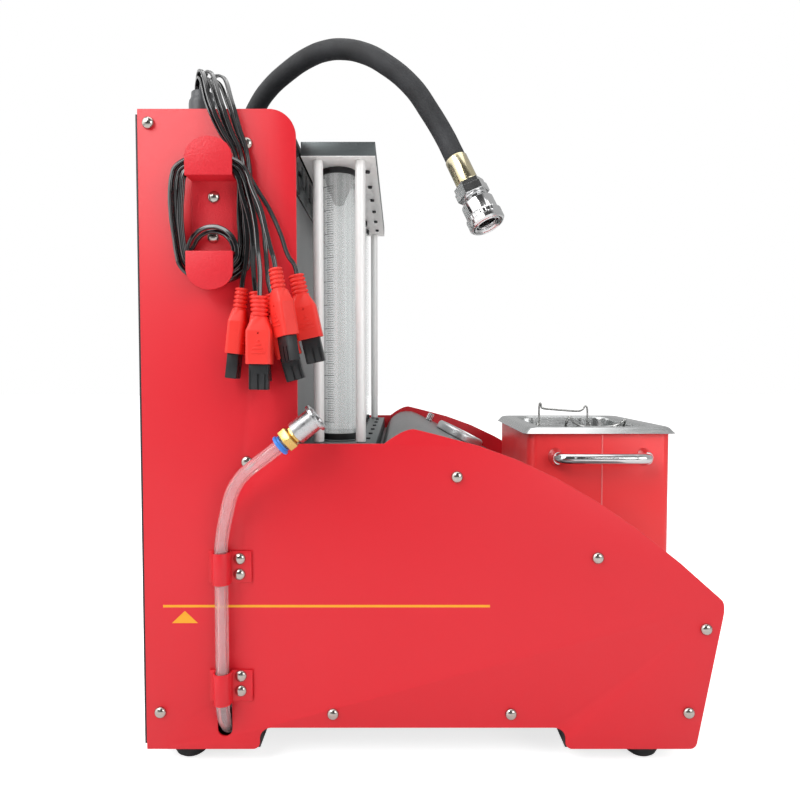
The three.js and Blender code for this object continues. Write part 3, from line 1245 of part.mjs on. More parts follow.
// Inside: an open fuel tank, an upright pump and the control board on its standoffs
function fuelTank() {
  const low = [TANK_X, TANK_END_GAP, TRAY_HIGH_Z + SHEET + GAP];
  const high = [TANK_X + TANK_LENGTH, WIDTH - TANK_END_GAP, TRAY_HIGH_Z + TANK_HEIGHT];
  const inside = (value, way) => value.map((entryValue) => entryValue + way * SHEET);
  const hollow = block(inside(low, 1), [...inside(high, -1).slice(0, 2), high[2] + OVERRUN]);
  return cut(block(low, high), hollow);
}

function fuelPump() {
  const base = TRAY_HIGH_Z + SHEET + GAP;
  return turned([
    [0, base], [PUMP_RADIUS, base], [PUMP_RADIUS, base + PUMP_LENGTH], [PUMP_NECK_RADIUS, base + PUMP_LENGTH],
    [PUMP_NECK_RADIUS, base + PUMP_LENGTH + PUMP_NECK_LENGTH], [0, base + PUMP_LENGTH + PUMP_NECK_LENGTH],
  ], 20).translate(PUMP_X, PUMP_Y, 0);
}

function controlBoard() {
  const z = PANEL_BOTTOM + BOARD_HEIGHT;
  const face = BOARD_STANDOFF + BOARD_THICKNESS;
  const board = block([BOARD_STANDOFF, BOARD_Y, z], [face, BOARD_Y + BOARD_WIDTH, z + BOARD_TALL]);
  const supply = block([face - BOARD_THICKNESS / 2, BOARD_Y + 2 * STANDOFF_INSET, z + 2 * STANDOFF_INSET],
    [face + BOARD_PARTS_DEPTH, BOARD_Y + BOARD_WIDTH / 2, z + BOARD_TALL / 2]);
  const posts = [];
  for (const y of [BOARD_Y + STANDOFF_INSET, BOARD_Y + BOARD_WIDTH - STANDOFF_INSET]) {
    for (const height of [z + STANDOFF_INSET, z + BOARD_TALL - STANDOFF_INSET]) {
      posts.push(bar(STANDOFF_RADIUS, [0, y, height], [face, y, height], 8));
    }
  }
  return join(board, supply, ...posts);
}

// Casing
add('left_side_panel', leftSidePanel(), RED_PAINT);
add('right_side_panel', plateXZ(sideOutline(), WIDTH - PANEL_SHEET, PANEL_SHEET), RED_PAINT);
add('back_cover', backCover(), DARK_PAINT);
add('top_cover', topCover(), DARK_PAINT);
add('column_panel', columnPanel(), GREY_PAINT);
add('display_panel', displayPanel(), BLACK_GLOSS);
add('base_tray', baseTray(), DARK_PAINT);
add('front_cover', frontCover(), GREY_PAINT);
add('bath_bay', bathBay(), GREY_PAINT);
[[FOOT_REAR_X, FOOT_INSET_Y], [FOOT_FRONT_X, FOOT_INSET_Y], [FOOT_REAR_X, WIDTH - FOOT_INSET_Y],
  [FOOT_FRONT_X, WIDTH - FOOT_INSET_Y]].forEach(([x, y], i) => add(`foot_${i + 1}`, foot(x, y), BLACK_RUBBER));

// Rack
add('rack_top_plate', rackTopPlate(), ANODISED);
add('rack_base_block', rackPlate(RACK_BASE_Z, RACK_BASE, [[TUBE_X, PIN_HOLE_RADIUS]]), ANODISED);
const pillarXs = [RACK_X + PILLAR_INSET_X, RACK_X + RACK_DEPTH - PILLAR_INSET_X];
const pillarYs = [RACK_LENGTH_INSET + PILLAR_INSET_Y, WIDTH - RACK_LENGTH_INSET - PILLAR_INSET_Y];
pillarYs.flatMap((y) => pillarXs.map((x) => [x, y]))
  .forEach(([x, y], i) => add(`rack_pillar_${i + 1}`, pillar(x, y), STEEL));
for (let i = 0; i < TUBE_COUNT; i++) add(`glass_tube_${i + 1}`, glassTube(i), CLEAR);

// Left panel's fittings
add('cable_winder', cableWinder(), RED_PAINT);
add('hose_clip_lower', hoseClip(CLIP_LOW_HEIGHT), RED_PAINT);
add('hose_clip_upper', hoseClip(CLIP_HIGH_HEIGHT), RED_PAINT);
addOnCord('drain_hose', tube(DRAIN_ROUTE, DRAIN_RADIUS, DRAIN_SIDES, DRAIN_STEPS), CLEAR_HOSE);
const cupFrame = aimed(CUP_START, CUP_AIM);
addOnCord('drain_collar', releaseCollar(), BLUE_PLASTIC, cupFrame);
addOnCord('drain_fitting', drainFitting(), BRASS, cupFrame);
addOnCord('drain_cup', drainCup(), STEEL, cupFrame);

// Fuel hose and leads
add('hose_gland', hoseGland(), BLACK_PLASTIC);
addOnCord('fuel_hose', tube(HOSE_ROUTE, HOSE_RADIUS, HOSE_SIDES, HOSE_STEPS), BLACK_RUBBER);
const couplerFrame = aimed(COUPLER_START, COUPLER_AIM);
addOnCord('hose_ferrule', ferrule(), BRASS, couplerFrame);
addOnCord('coupler_body', couplerBody(), CHROME, couplerFrame);
addOnCord('coupler_sleeve', couplerSleeve(), CHROME, couplerFrame);
add('lead_gland', leadGland(), GREY_PAINT);
addOnCord('injector_leads', injectorLeads(), BLACK_RUBBER);
PLUGS.forEach((plug, i) => {
  addOnCord(`injector_plug_${i + 1}`, injectorPlug(), RED_PLASTIC);
  placePlug(cordPieces[cordPieces.length - 1], plug);
});

// Controls
const gaugeFrame = onSlope(GAUGE_X, GAUGE_Y);
add('pressure_gauge', pressureGauge(), CHROME, gaugeFrame);
add('gauge_needle', gaugeNeedle(), BLACK_GLOSS, gaugeFrame);
add('pressure_knob', pressureKnob(), CHROME, onSlope(KNOB_X, KNOB_Y));
add('mains_inlet', mainsInlet(), BLACK_PLASTIC);
placeRocker(add('power_switch', rocker(), BLACK_GLOSS));

// Ultrasonic bath
add('bath_housing', bathHousing(), RED_PAINT);
add('bath_tank', bathTank(), STEEL);
add('bath_handle_near', bathHandle(BATH_Y, -1), CHROME);
add('bath_handle_far', bathHandle(BATH_Y + BATH_LENGTH, 1), CHROME);
add('basket', basket(), STEEL);
const bailInset = BASKET_SHEET / 2;
placeBail(add('basket_handle_near', bail(), STEEL), BASKET_LOW[1] + bailInset, NEAR_BAIL_LEAN);
placeBail(add('basket_handle_far', bail(), STEEL), BASKET_LOW[1] + BASKET_SIZE[1] - bailInset, 0);

// Inside
add('fuel_tank', fuelTank(), STEEL);
add('fuel_pump', fuelPump(), STEEL);
add('control_board', controlBoard(), GREEN_BOARD);

console.log(leastLeadGap());

// Centre the machine over the origin, measured without the cords and what hangs on them
const group = new THREE.Group();
group.add(machine);
group.updateMatrixWorld(true);
const reach = new THREE.Box3();
machine.traverse((piece) => {
  if (piece.isMesh && !cordPieces.includes(piece)) reach.expandByObject(piece, true);
});
machine.position.set(-(reach.min.x + reach.max.x) / 2, -(reach.min.y + reach.max.y) / 2, -reach.min.z);
group.updateMatrixWorld(true);
console.log(`machine moved by ${machine.position.toArray().map((value) => value.toFixed(3))} mm`);

export default group;
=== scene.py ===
import json
import math

import bmesh
import bpy
from mathutils import Matrix, Vector

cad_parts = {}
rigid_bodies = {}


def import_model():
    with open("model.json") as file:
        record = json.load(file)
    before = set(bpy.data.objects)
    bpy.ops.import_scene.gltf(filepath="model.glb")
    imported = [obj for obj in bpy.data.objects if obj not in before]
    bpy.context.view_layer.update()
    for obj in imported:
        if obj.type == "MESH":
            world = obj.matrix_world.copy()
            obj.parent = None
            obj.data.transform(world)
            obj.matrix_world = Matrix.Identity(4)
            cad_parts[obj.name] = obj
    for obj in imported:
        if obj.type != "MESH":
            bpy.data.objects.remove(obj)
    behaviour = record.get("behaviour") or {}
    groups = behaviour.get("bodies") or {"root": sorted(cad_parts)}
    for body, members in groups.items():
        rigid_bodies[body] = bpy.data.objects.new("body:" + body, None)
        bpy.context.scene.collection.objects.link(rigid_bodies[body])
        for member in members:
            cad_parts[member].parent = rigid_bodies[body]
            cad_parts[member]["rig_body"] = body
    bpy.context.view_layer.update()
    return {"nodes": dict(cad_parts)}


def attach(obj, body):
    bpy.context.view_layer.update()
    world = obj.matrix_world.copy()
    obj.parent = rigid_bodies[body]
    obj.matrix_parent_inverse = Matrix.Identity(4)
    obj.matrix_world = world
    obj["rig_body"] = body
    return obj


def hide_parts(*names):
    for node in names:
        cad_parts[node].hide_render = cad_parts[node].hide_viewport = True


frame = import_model()

# The studio: the camera stands where the photograph was taken from, level with the rack, over a pale floor.
# Soft lamps and a white surround light the machine. Places are given in millimetres from the side panels'
# rear edge, the left panel's outer face and the floor, and at() turns them into the scene's metres.
MM = 0.001
REAR_EDGE = -0.223144
LEFT_FACE = -0.1605


def at(x, y, z):
    return Vector((REAR_EDGE + x * MM, LEFT_FACE + y * MM, z * MM))


class Wire:
    """What comes out of a node, as a value that Python's signs work on."""

    def __init__(self, shading, socket):
        self.shading = shading
        self.socket = socket

    def maths(self, operation, first, second):
        return self.shading.node("ShaderNodeMath", {"operation": operation}, {0: first, 1: second})

    def __add__(self, other):
        return self.maths("ADD", self, other)

    def __sub__(self, other):
        return self.maths("SUBTRACT", self, other)

    def __rsub__(self, other):
        return self.maths("SUBTRACT", other, self)

    def __mul__(self, other):
        return self.maths("MULTIPLY", self, other)

    def __lt__(self, other):
        return self.maths("LESS_THAN", self, other)

    __radd__ = __add__
    __rmul__ = __mul__


class Shading:
    """The nodes of a material, or of the surround."""

    def __init__(self, owner):
        owner.use_nodes = True
        self.tree = owner.node_tree
        self.tree.nodes.clear()

    def node(self, kind, settings=None, inputs=None, output=0):
        made = self.tree.nodes.new(kind)
        for name, value in (settings or {}).items():
            setattr(made, name, value)
        for name, value in (inputs or {}).items():
            if isinstance(value, Wire):
                self.tree.links.new(value.socket, made.inputs[name])
            else:
                made.inputs[name].default_value = value
        return Wire(self, made.outputs[output] if made.outputs else None)


def part_of(shading, wire, axis):
    """One of the three parts of a direction or a place."""
    return shading.node("ShaderNodeSeparateXYZ", None, {0: wire}, axis)


def deselect():
    bpy.ops.object.select_all(action="DESELECT")


CAMERA_PLACE = (194, -506, 303)
CAMERA_PITCH = 87.625
LENS_LENGTH = 30.375
scene = bpy.context.scene
scene.view_settings.view_transform = "Standard"
lens = bpy.data.cameras.new("camera")
lens.sensor_width = 36
lens.lens = LENS_LENGTH
lens.clip_start = 0.01
lens.clip_end = 50
camera = bpy.data.objects.new("camera", lens)
camera.location = at(*CAMERA_PLACE)
camera.rotation_euler = (math.radians(CAMERA_PITCH), 0, 0)
scene.collection.objects.link(camera)
scene.camera = camera

SURROUND = 0.5
DARK_END = 0.08
DARK_BEHIND, DARK_ABOVE = 0.9, 0.43
LEFT_BOX = 0.9
scene.world = bpy.data.worlds.new("surround")
room = Shading(scene.world)
towards = room.node("ShaderNodeTexCoord", output="Generated")
depth = part_of(room, towards, 1) * DARK_BEHIND - part_of(room, towards, 2) * DARK_ABOVE
soft = {"interpolation_type": "SMOOTHSTEP"}
dark_end = room.node("ShaderNodeMapRange", soft, {0: depth, 1: -0.85, 2: -0.6, 3: DARK_END, 4: SURROUND})
sideways = part_of(room, towards, 0)
left_box = room.node("ShaderNodeMapRange", soft, {0: sideways, 1: -0.8, 2: -0.5, 3: LEFT_BOX, 4: 0})
ray = room.node("ShaderNodeLightPath")
through = room.node("ShaderNodeLightPath", output="Is Transmission Ray")
plain = room.node("ShaderNodeMath", {"operation": "MAXIMUM"}, {0: ray, 1: through})
sky = room.node("ShaderNodeBackground", None,
                {"Color": (1, 1, 1, 1), "Strength": plain + (1 - plain) * (dark_end + left_box)})
room.node("ShaderNodeOutputWorld", None, {"Surface": sky})

LIT_SPOT = (200, 170, 250)
for name, place, size, power in [
    ("key", (-850, -1050, 1600), 1.2, 23),
    ("fill", (1400, -1300, 900), 1.0, 10),
    ("top", (200, 200, 1900), 1.4, 10),
]:
    light = bpy.data.lights.new(name, "AREA")
    light.size, light.energy = size, power
    lamp = bpy.data.objects.new(name, light)
    lamp.location = at(*place)
    lamp.rotation_euler = (at(*LIT_SPOT) - lamp.location).to_track_quat("-Z", "Y").to_euler()
    scene.collection.objects.link(lamp)

FLOOR_SIZE = 16
FLOOR_TONE = 0.86
FLOOR_LIFT = 0.75
deselect()
bpy.ops.mesh.primitive_plane_add(size=FLOOR_SIZE, location=(0, 0, 0))
floor = bpy.context.object
floor.name = "studio_floor"
pale = bpy.data.materials.new("studio floor")
floor.data.materials.append(pale)
ground = Shading(pale)
matt = ground.node("ShaderNodeBsdfDiffuse", None, {"Color": (FLOOR_TONE, FLOOR_TONE, FLOOR_TONE, 1)})
seen = ground.node("ShaderNodeLightPath")
lift = ground.node("ShaderNodeEmission", None, {"Strength": seen * FLOOR_LIFT})
both = ground.node("ShaderNodeAddShader", None, {0: matt, 1: lift})
ground.node("ShaderNodeOutputMaterial", None, {"Surface": both})


# Fuel hose: wrapped black rubber hose, 16 mm across, that stands up out of its gland on the top cover and
# bends over to the coupler. Its end is crimped into a yellow-plated ferrule.
def paint(red, green, blue):
    """A colour as it is seen, from 0 to 255 a channel, as the light values that a shader takes."""
    channels = [value / 255 for value in (red, green, blue)]
    return (*[c / 12.92 if c < 0.04045 else ((c + 0.055) / 1.055) ** 2.4 for c in channels], 1)


class Surface(Shading):
    """One finish of the machine."""

    def __init__(self, name):
        self.material = bpy.data.materials.new(name)
        super().__init__(self.material)

    def position(self, stretch=(1, 1, 1)):
        place = self.node("ShaderNodeTexCoord", output="Object")
        return self.node("ShaderNodeMapping", None, {"Vector": place, "Scale": stretch})

    def height(self):
        return part_of(self, self.position(), 2)

    def noise(self, scale, detail=2, stretch=(1, 1, 1)):
        return self.node("ShaderNodeTexNoise", None,
                         {"Vector": self.position(stretch), "Scale": scale, "Detail": detail})

    def mix(self, share, first, second):
        return self.node("ShaderNodeMix", {"data_type": "RGBA"},
                         {0: share, 6: paint(*first), 7: paint(*second)}, 2)

    def spread(self, value, to_low=0, to_high=1, low=0.3, high=0.7):
        return self.node("ShaderNodeMapRange", None, {0: value, 1: low, 2: high, 3: to_low, 4: to_high})

    def relief(self, height, depth):
        return self.node("ShaderNodeBump", None, {"Strength": 1, "Distance": depth, "Height": height})

    def done(self, colour, roughness, **more):
        values = {"Base Color": colour, "Roughness": roughness}
        values.update({name.replace("_", " "): value for name, value in more.items()})
        skin = self.node("ShaderNodeBsdfPrincipled", None, values)
        self.node("ShaderNodeOutputMaterial", None, {"Surface": skin})


def plain_finish(name, scale, colours, roughness, detail=2, stretch=(1, 1, 1), depth=0, **more):
    """A finish whose colour, roughness and relief wander together with one noise."""
    surface = Surface(name)
    drift = surface.noise(scale, detail, stretch)
    if depth:
        more["Normal"] = surface.relief(drift, depth)
    if isinstance(roughness, tuple):
        roughness = surface.spread(drift, *roughness)
    surface.done(surface.mix(drift, *colours), roughness, **more)
    return surface


def fit(piece, name, finish, stands_for=(), body="tester"):
    """Names a finished piece, gives it its finish and puts it on its body."""
    piece.name = piece.data.name = name
    piece.data.materials.clear()
    piece.data.materials.append(finish.material)
    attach(piece, body)
    if stands_for:
        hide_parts(*stands_for)
    return piece


def line(points, radius, sides=6):
    """A curve through points, with a round section."""
    curve = bpy.data.curves.new("line", "CURVE")
    curve.dimensions, curve.resolution_u = "3D", 8
    curve.bevel_depth, curve.bevel_resolution, curve.use_fill_caps = radius, sides, True
    spline = curve.splines.new("BEZIER")
    spline.bezier_points.add(len(points) - 1)
    for knot, point in zip(spline.bezier_points, points):
        knot.co = point
        knot.handle_left_type = knot.handle_right_type = "AUTO"
    piece = bpy.data.objects.new("line", curve)
    scene.collection.objects.link(piece)
    return piece


def tidy(bevel=0, segments=2, angle=35):
    """Leaves edit mode, closes seams, turns faces outwards, breaks the edges and smooths the piece."""
    piece = bpy.context.object
    bpy.ops.object.mode_set(mode="EDIT")
    bpy.ops.mesh.select_all(action="SELECT")
    bpy.ops.mesh.remove_doubles(threshold=0.000005)
    bpy.ops.mesh.normals_make_consistent(inside=False)
    bpy.ops.object.mode_set(mode="OBJECT")
    bpy.ops.object.transform_apply(location=True, rotation=True, scale=True)
    if bevel:
        edge = piece.modifiers.new("edge", "BEVEL")
        edge.width, edge.segments, edge.limit_method = bevel * MM, segments, "ANGLE"
        edge.angle_limit, edge.use_clamp_overlap = math.radians(30), True
        bpy.ops.object.modifier_apply(modifier="edge")
    bpy.ops.object.shade_smooth_by_angle(angle=math.radians(angle))
    return piece


def ring(sides, radius, height):
    """Starts a piece as a ring of vertices, and stays in edit mode with all of it selected."""
    deselect()
    bpy.ops.mesh.primitive_circle_add(vertices=sides, radius=radius * MM, location=(0, 0, height * MM))
    bpy.ops.object.mode_set(mode="EDIT")
    bpy.ops.mesh.select_mode(type="VERT")
    bpy.ops.mesh.select_all(action="SELECT")


def extrude_up(height):
    bpy.ops.mesh.extrude_region_move(TRANSFORM_OT_translate={"value": (0, 0, height * MM)})


def turned(profile, sides=48, bevel=0):
    """A piece turned on the lathe: its profile holds (radius, height) pairs, and closes if its ends meet."""
    ring(sides, *profile[0])
    for (r0, h0), (r1, h1) in zip(profile, profile[1:]):
        extrude_up(h1 - h0)
        bpy.ops.transform.resize(value=(r1 / r0, r1 / r0, 1), center_override=(0, 0, 0))
    if profile[0] != profile[-1]:
        bpy.ops.mesh.edge_face_add()
        bpy.ops.mesh.select_all(action="DESELECT")
        bpy.ops.mesh.select_mode(type="EDGE")
        bpy.ops.mesh.select_non_manifold()
        bpy.ops.mesh.edge_face_add()
    return tidy(bevel)


def moved(x, y, z, where=at):
    """The place of a piece that is built about the origin and stays upright."""
    return Matrix.Translation(where(x, y, z))


def aimed(start, aim):
    """The place of a piece that is built upright and then points along aim."""
    tilt = Vector((0, 0, 1)).rotation_difference(Vector(aim))
    return moved(*start) @ tilt.to_matrix().to_4x4()


def put(piece, place):
    piece.data.transform(place)
    return piece


HOSE = [
    (54, 122, 508.3), (54, 122, 512), (54.6, 121.4, 520), (58, 118.6, 531), (65.3, 113, 542),
    (76.6, 104, 552.4), (97.3, 88, 562.2), (118.2, 72, 567.2), (133, 62, 567.6), (147.9, 53, 564.6),
    (164.9, 44, 557.4), (180.5, 37, 546.8), (203.3, 31, 525.9), (217.6, 29.2, 505.2), (229.4, 26.2, 484.4),
    (234.1, 23.1, 473.6), (236.97, 21.1, 466.87),
]
COUPLER_START = (237.08, 21.02, 466.6)
COUPLER_AIM = (0.376, -0.269, -0.886)
HOSE_RADIUS = 8

wrapped = Surface("wrapped hose rubber")
nap = wrapped.noise(1600, 3)
scuff = wrapped.noise(60, 3)
wrapped.done(wrapped.mix(wrapped.spread(scuff, low=0.35, high=0.65), (34, 35, 37), (48, 49, 52)),
             wrapped.spread(nap, 0.55, 0.75), Normal=wrapped.relief(nap, 0.0002))
fuel_hose = fit(line([at(*p) for p in HOSE], HOSE_RADIUS * MM, 10), "fuel_hose_line", wrapped,
                ["fuel_hose"])

plated = Surface("yellow plating")
tint = plated.noise(90, 2, (1, 1, 0.4))
streaks = plated.noise(700, 2)
plated.done(plated.mix(plated.spread(tint, low=0.35, high=0.65), (226, 214, 172), (216, 206, 178)),
            plated.spread(streaks, 0.16, 0.26), Metallic=1)
coupler_place = aimed(COUPLER_START, COUPLER_AIM)
ferrule = fit(put(turned([
    (8.15, 0), (8.5, 0.1), (8.75, 0.7), (8.75, 22.4), (8.2, 23.3), (6, 23.5), (5, 23.5), (5, 12), (8.15, 12),
    (8.15, 0),
], 48, 0.2), coupler_place), "crimped_ferrule", plated, ["hose_ferrule"])


# Quick coupler: a chromed steel hexagon and spigot, and the sprung sleeve that is pulled back to let the
# fuel rail's plug in. A black seal sits inside the mouth. Only the sleeve slides.
def alone(piece):
    """Selects one piece and makes it the active one."""
    deselect()
    bpy.context.view_layer.objects.active = piece
    piece.select_set(True)


def edit(piece):
    """Enters edit mode on a piece, with nothing of it selected."""
    alone(piece)
    bpy.ops.object.mode_set(mode="EDIT")
    bpy.ops.mesh.select_all(action="DESELECT")


def spun(degrees, axis):
    return Matrix.Rotation(math.radians(degrees), 4, axis)


def pick(kind, test):
    """Selects the faces, edges or vertices of the piece in edit mode that pass the test."""
    bpy.ops.mesh.select_mode(type=kind)
    mesh = bmesh.from_edit_mesh(bpy.context.edit_object.data)
    for item in {"FACE": mesh.faces, "EDGE": mesh.edges, "VERT": mesh.verts}[kind]:
        item.select_set(test(item))
    mesh.select_flush_mode()
    bmesh.update_edit_mesh(bpy.context.edit_object.data)


def joined(*pieces):
    deselect()
    for piece in pieces:
        piece.select_set(True)
    bpy.context.view_layer.objects.active = pieces[0]
    bpy.ops.object.join()
    return pieces[0]


def knurl(piece, sides, every, depth, within):
    """Presses a knurl into a turned piece: every few vertices round it sink, where within says so."""
    edit(piece)
    pick("VERT", lambda v: within(v.co.xy.length / MM, v.co.z / MM)
         and round(math.atan2(v.co.y, v.co.x) / math.tau * sides) % every == 0)
    bpy.ops.transform.resize(value=(depth, depth, 1), center_override=(0, 0, 0))
    bpy.ops.object.mode_set(mode="OBJECT")


chrome = plain_finish("chrome", 120, ((214, 215, 216), (232, 232, 232)), (0.09, 0.15), 3, Metallic=1)
rubber = Surface("moulded rubber")
skin = rubber.noise(2200, 2)
rubber.done(paint(27, 28, 30), rubber.spread(skin, 0.5, 0.68), Normal=rubber.relief(skin, 0.00006))

HEXAGON_TURN = 22
hexagon = turned([
    (11.1, 23.6), (11.9, 24.2), (11.9, 27.6), (12.9, 28.3), (12.9, 34.6), (12.3, 35.1), (6, 35.1), (6, 23.6),
    (11.1, 23.6),
], 6)
put(hexagon, spun(HEXAGON_TURN, "Z"))
spigot = turned([
    (9.4, 34.8), (10, 35.3), (10, 36.4), (9.5, 36.8), (8, 36.8), (8, 58.2), (7.4, 58.8), (6.6, 58.8),
    (6.4, 56.5), (6.2, 40.9), (3, 40.8), (3, 34.8), (9.4, 34.8),
], 64, 0.15)
coupler = fit(put(joined(spigot, hexagon), coupler_place), "coupler_hexagon_and_spigot", chrome,
              ["coupler_body"])
seal = turned([(4.2, 45), (6.1, 45), (6.1, 52), (5.2, 52), (4.2, 50), (4.2, 45)], 40, 0.2)
seal = fit(put(seal, coupler_place), "coupler_seal", rubber)

SLEEVE_SIDES = 96
sleeve = turned([
    (8.4, 40.1), (11.7, 40.1), (12.5, 41), (12.5, 50.6), (13.1, 51.6), (13.9, 52.4), (13.9, 55.2),
    (13.5, 55.6), (13.5, 56.1), (13.9, 56.5), (13.9, 59.2), (12.8, 60.7), (11.9, 60.9), (11.5, 60.3),
    (10.6, 60.3), (10.2, 60.8), (9.3, 60.6), (8.4, 59.6), (8.4, 40.1),
], SLEEVE_SIDES)
knurl(sleeve, SLEEVE_SIDES, 3, 0.96, lambda radius, z: 13 < radius < 14 and z < 55.5)
fit(put(sleeve, coupler_place), "coupler_sleeve_knurled", chrome, ["coupler_sleeve"], "sleeve")

at(*HOSE[0])


# Injector leads: six black twin-core leads that rise out of one gland, arch over the top edge, and are wound
# round the winder's two arms, one column of turns beside the other. Each hangs down to its own plug.
LEAD_WIDTH = 3.6
LEAD_CORE = 1
LANE = 3.78
FIRST_LANE = 4
COLUMN = 3.9
WINDER_X = 57.2
TURN_RADIUS = 19.2
TURN_STEPS = 16
INNER_TURN = 2.7
LOW_FLATTENING, HIGH_FLATTENING = 7, 13
BULGE = 2.5
LOW_ARM, HIGH_ARM = 389.2, 444.6
GLAND = (41, 25)
GLAND_TOP = 518.3
ROOT_RING = 4.3
ROOT_ANGLES = (-135, 165, -75, 105, -15, 45)
FIRST_BENDS = ((2.5, 4.1), (2.4, 5.6))
ARCH_TOPS = ((44.6, 7.6, 522.6), (45.6, 7, 527.6), (50.9, 7.2, 521.4), (51.6, 7.4, 527), (56.9, 8.6, 520.2),
             (59.8, 9.6, 524.6))
EDGE_CROSSINGS = ((53.4, -2.8, 497.5), (56.6, -6.8, 497.5), (60.8, -2.8, 497.5), (64.6, -6.8, 497.5),
                  (68.6, -2.8, 497.5), (72.3, -6.8, 497.5))
NECK_CROSSINGS = ((62.6, -3.6, 478), (65.2, -7.4, 478), (68.6, -3.6, 478), (71.4, -7.4, 478), (75, -3.6, 478),
                  (78, -7.4, 478))
LEAD_TAILS = (
    ((79.6, -12.1, 430), (82.4, -12.6, 412), (83.2, -12.4, 395), (81.2, -11.8, 378)),
    ((80.6, -16.2, 431), (86, -16.4, 412), (88, -15.2, 395), (87.6, -12.6, 378)),
    ((86.2, -12.1, 430), (94, -12, 412), (96, -10.6, 394), (96.8, -8.4, 378)),
    ((86, -17.2, 429), (90.8, -21, 410), (93.6, -25.6, 390), (95.6, -28, 370)),
    ((90.4, -12.1, 435.5), (99.8, -12.2, 420), (107.2, -10.6, 403), (112.6, -8.4, 387)),
    ((88.2, -18.4, 435), (95.2, -22.6, 419), (100, -27, 402), (103.8, -29.6, 388)),
)
PLUGS = (((78.9, -11.5, 364), -6.5, 90), ((88.7, -11.5, 361.5), 5.5, 90), ((99.6, -7.6, 360.7), 15.8, 0),
         ((95.4, -28.5, 356.5), -0.8, 0), ((117.9, -7.6, 374.4), 12.6, 0), ((106.6, -30, 375.7), 9.2, -52))


def lane_y(lane):
    return -(FIRST_LANE + lane * LANE)


def turn(z, radius, start, end, lane, last_lane):
    """Points of a lead's turn about one arm of the winder, flatter where it lies on the arm."""
    steps = max(1, round(TURN_STEPS * abs(end - start) / 360))
    points = []
    for i in range(steps + 1):
        angle = math.radians(start + (end - start) * i / steps)
        change = min(max((i / steps - 1 / 6) * 1.5, 0), 1)
        outer = math.sin(angle) * (z - (LOW_ARM + HIGH_ARM) / 2) > 0
        height = radius - (LOW_FLATTENING if z == LOW_ARM else HIGH_FLATTENING) * outer
        points.append((WINDER_X + radius * math.cos(angle), lane_y(lane + (last_lane - lane) * change),
                       z + height * math.sin(angle)))
    return points


def plug_entry(plug, reach):
    (x, y, z), lean, _ = plug
    return (x - reach * math.sin(math.radians(lean)), y, z + reach * math.cos(math.radians(lean)))


def lead_route(i):
    """A lead from its gland over the edge, round the winder's arms and down to its plug."""
    column, lane = divmod(i, 2)
    radius = TURN_RADIUS + column * COLUMN
    angle = math.radians(ROOT_ANGLES[i])
    root = Vector(GLAND) + ROOT_RING * Vector((math.cos(angle), math.sin(angle)))
    heading = (Vector(ARCH_TOPS[i][:2]) - root).normalized()
    along, rise = FIRST_BENDS[lane]
    side, far, centre = WINDER_X + radius, WINDER_X - radius, (LOW_ARM + HIGH_ARM) / 2
    neck = NECK_CROSSINGS[i]
    route = [(*root, GLAND_TOP - LEAD_WIDTH / 2), (*(root + along * heading), GLAND_TOP + rise), ARCH_TOPS[i],
             EDGE_CROSSINGS[i], neck, (side - 0.29 * (side - neck[0]), lane_y(lane), HIGH_ARM + TURN_RADIUS),
             (side, lane_y(lane), HIGH_ARM), (side, lane_y(lane), centre)]
    route += turn(LOW_ARM, radius, 0, -180, lane, lane)
    up = lane
    if column == 0:
        up = lane + 2
        inner = radius - INNER_TURN * (1 - lane)
        route += turn(LOW_ARM, inner, -180, -360, lane, up)[1:]
        route += turn(LOW_ARM, radius, -360, -540, up, up)[1:]
    route += [(far - 0.62 * BULGE, lane_y(up), LOW_ARM + 3 * LANE),
              (far - BULGE, lane_y((up + lane + 2) / 2), centre),
              (far - 0.62 * BULGE, lane_y(lane + 2), HIGH_ARM - 3 * LANE)]
    route += turn(HIGH_ARM, radius, 180, 8, lane + 2, lane + 2)
    return route + [*LEAD_TAILS[i], plug_entry(PLUGS[i], 2 * LANE), plug_entry(PLUGS[i], -6)]


def as_mesh(piece):
    """Turns a curve into a mesh, with its place in its mesh."""
    alone(piece)
    bpy.ops.object.convert(target="MESH")
    return tidy()


def centreline(piece):
    """The points that a curve follows, close together."""
    depth, piece.data.bevel_depth = piece.data.bevel_depth, 0
    copy = bpy.data.objects.new("centreline", piece.data.copy())
    piece.data.bevel_depth = depth
    scene.collection.objects.link(copy)
    alone(copy)
    bpy.ops.object.convert(target="MESH")
    points = [vertex.co.copy() for vertex in copy.data.vertices]
    bpy.data.objects.remove(copy)
    return points


CORE_SPAN = 118
section = bpy.data.curves.new("twin cores", "CURVE")
section.dimensions = "2D"
spline = section.splines.new("POLY")
corners = []
for side in (1, -1):
    for i in range(9):
        angle = math.radians(CORE_SPAN * (i / 4 - 1) + (0 if side == 1 else 180))
        middle_x = side * (LEAD_WIDTH / 2 - LEAD_CORE)
        corners.append((middle_x + LEAD_CORE * math.cos(angle), LEAD_CORE * math.sin(angle)))
spline.points.add(len(corners) - 1)
for point, (x, y) in zip(spline.points, corners):
    point.co = (x * MM, y * MM, 0, 1)
spline.use_cyclic_u = True
cores = bpy.data.objects.new("twin cores", section)
scene.collection.objects.link(cores)

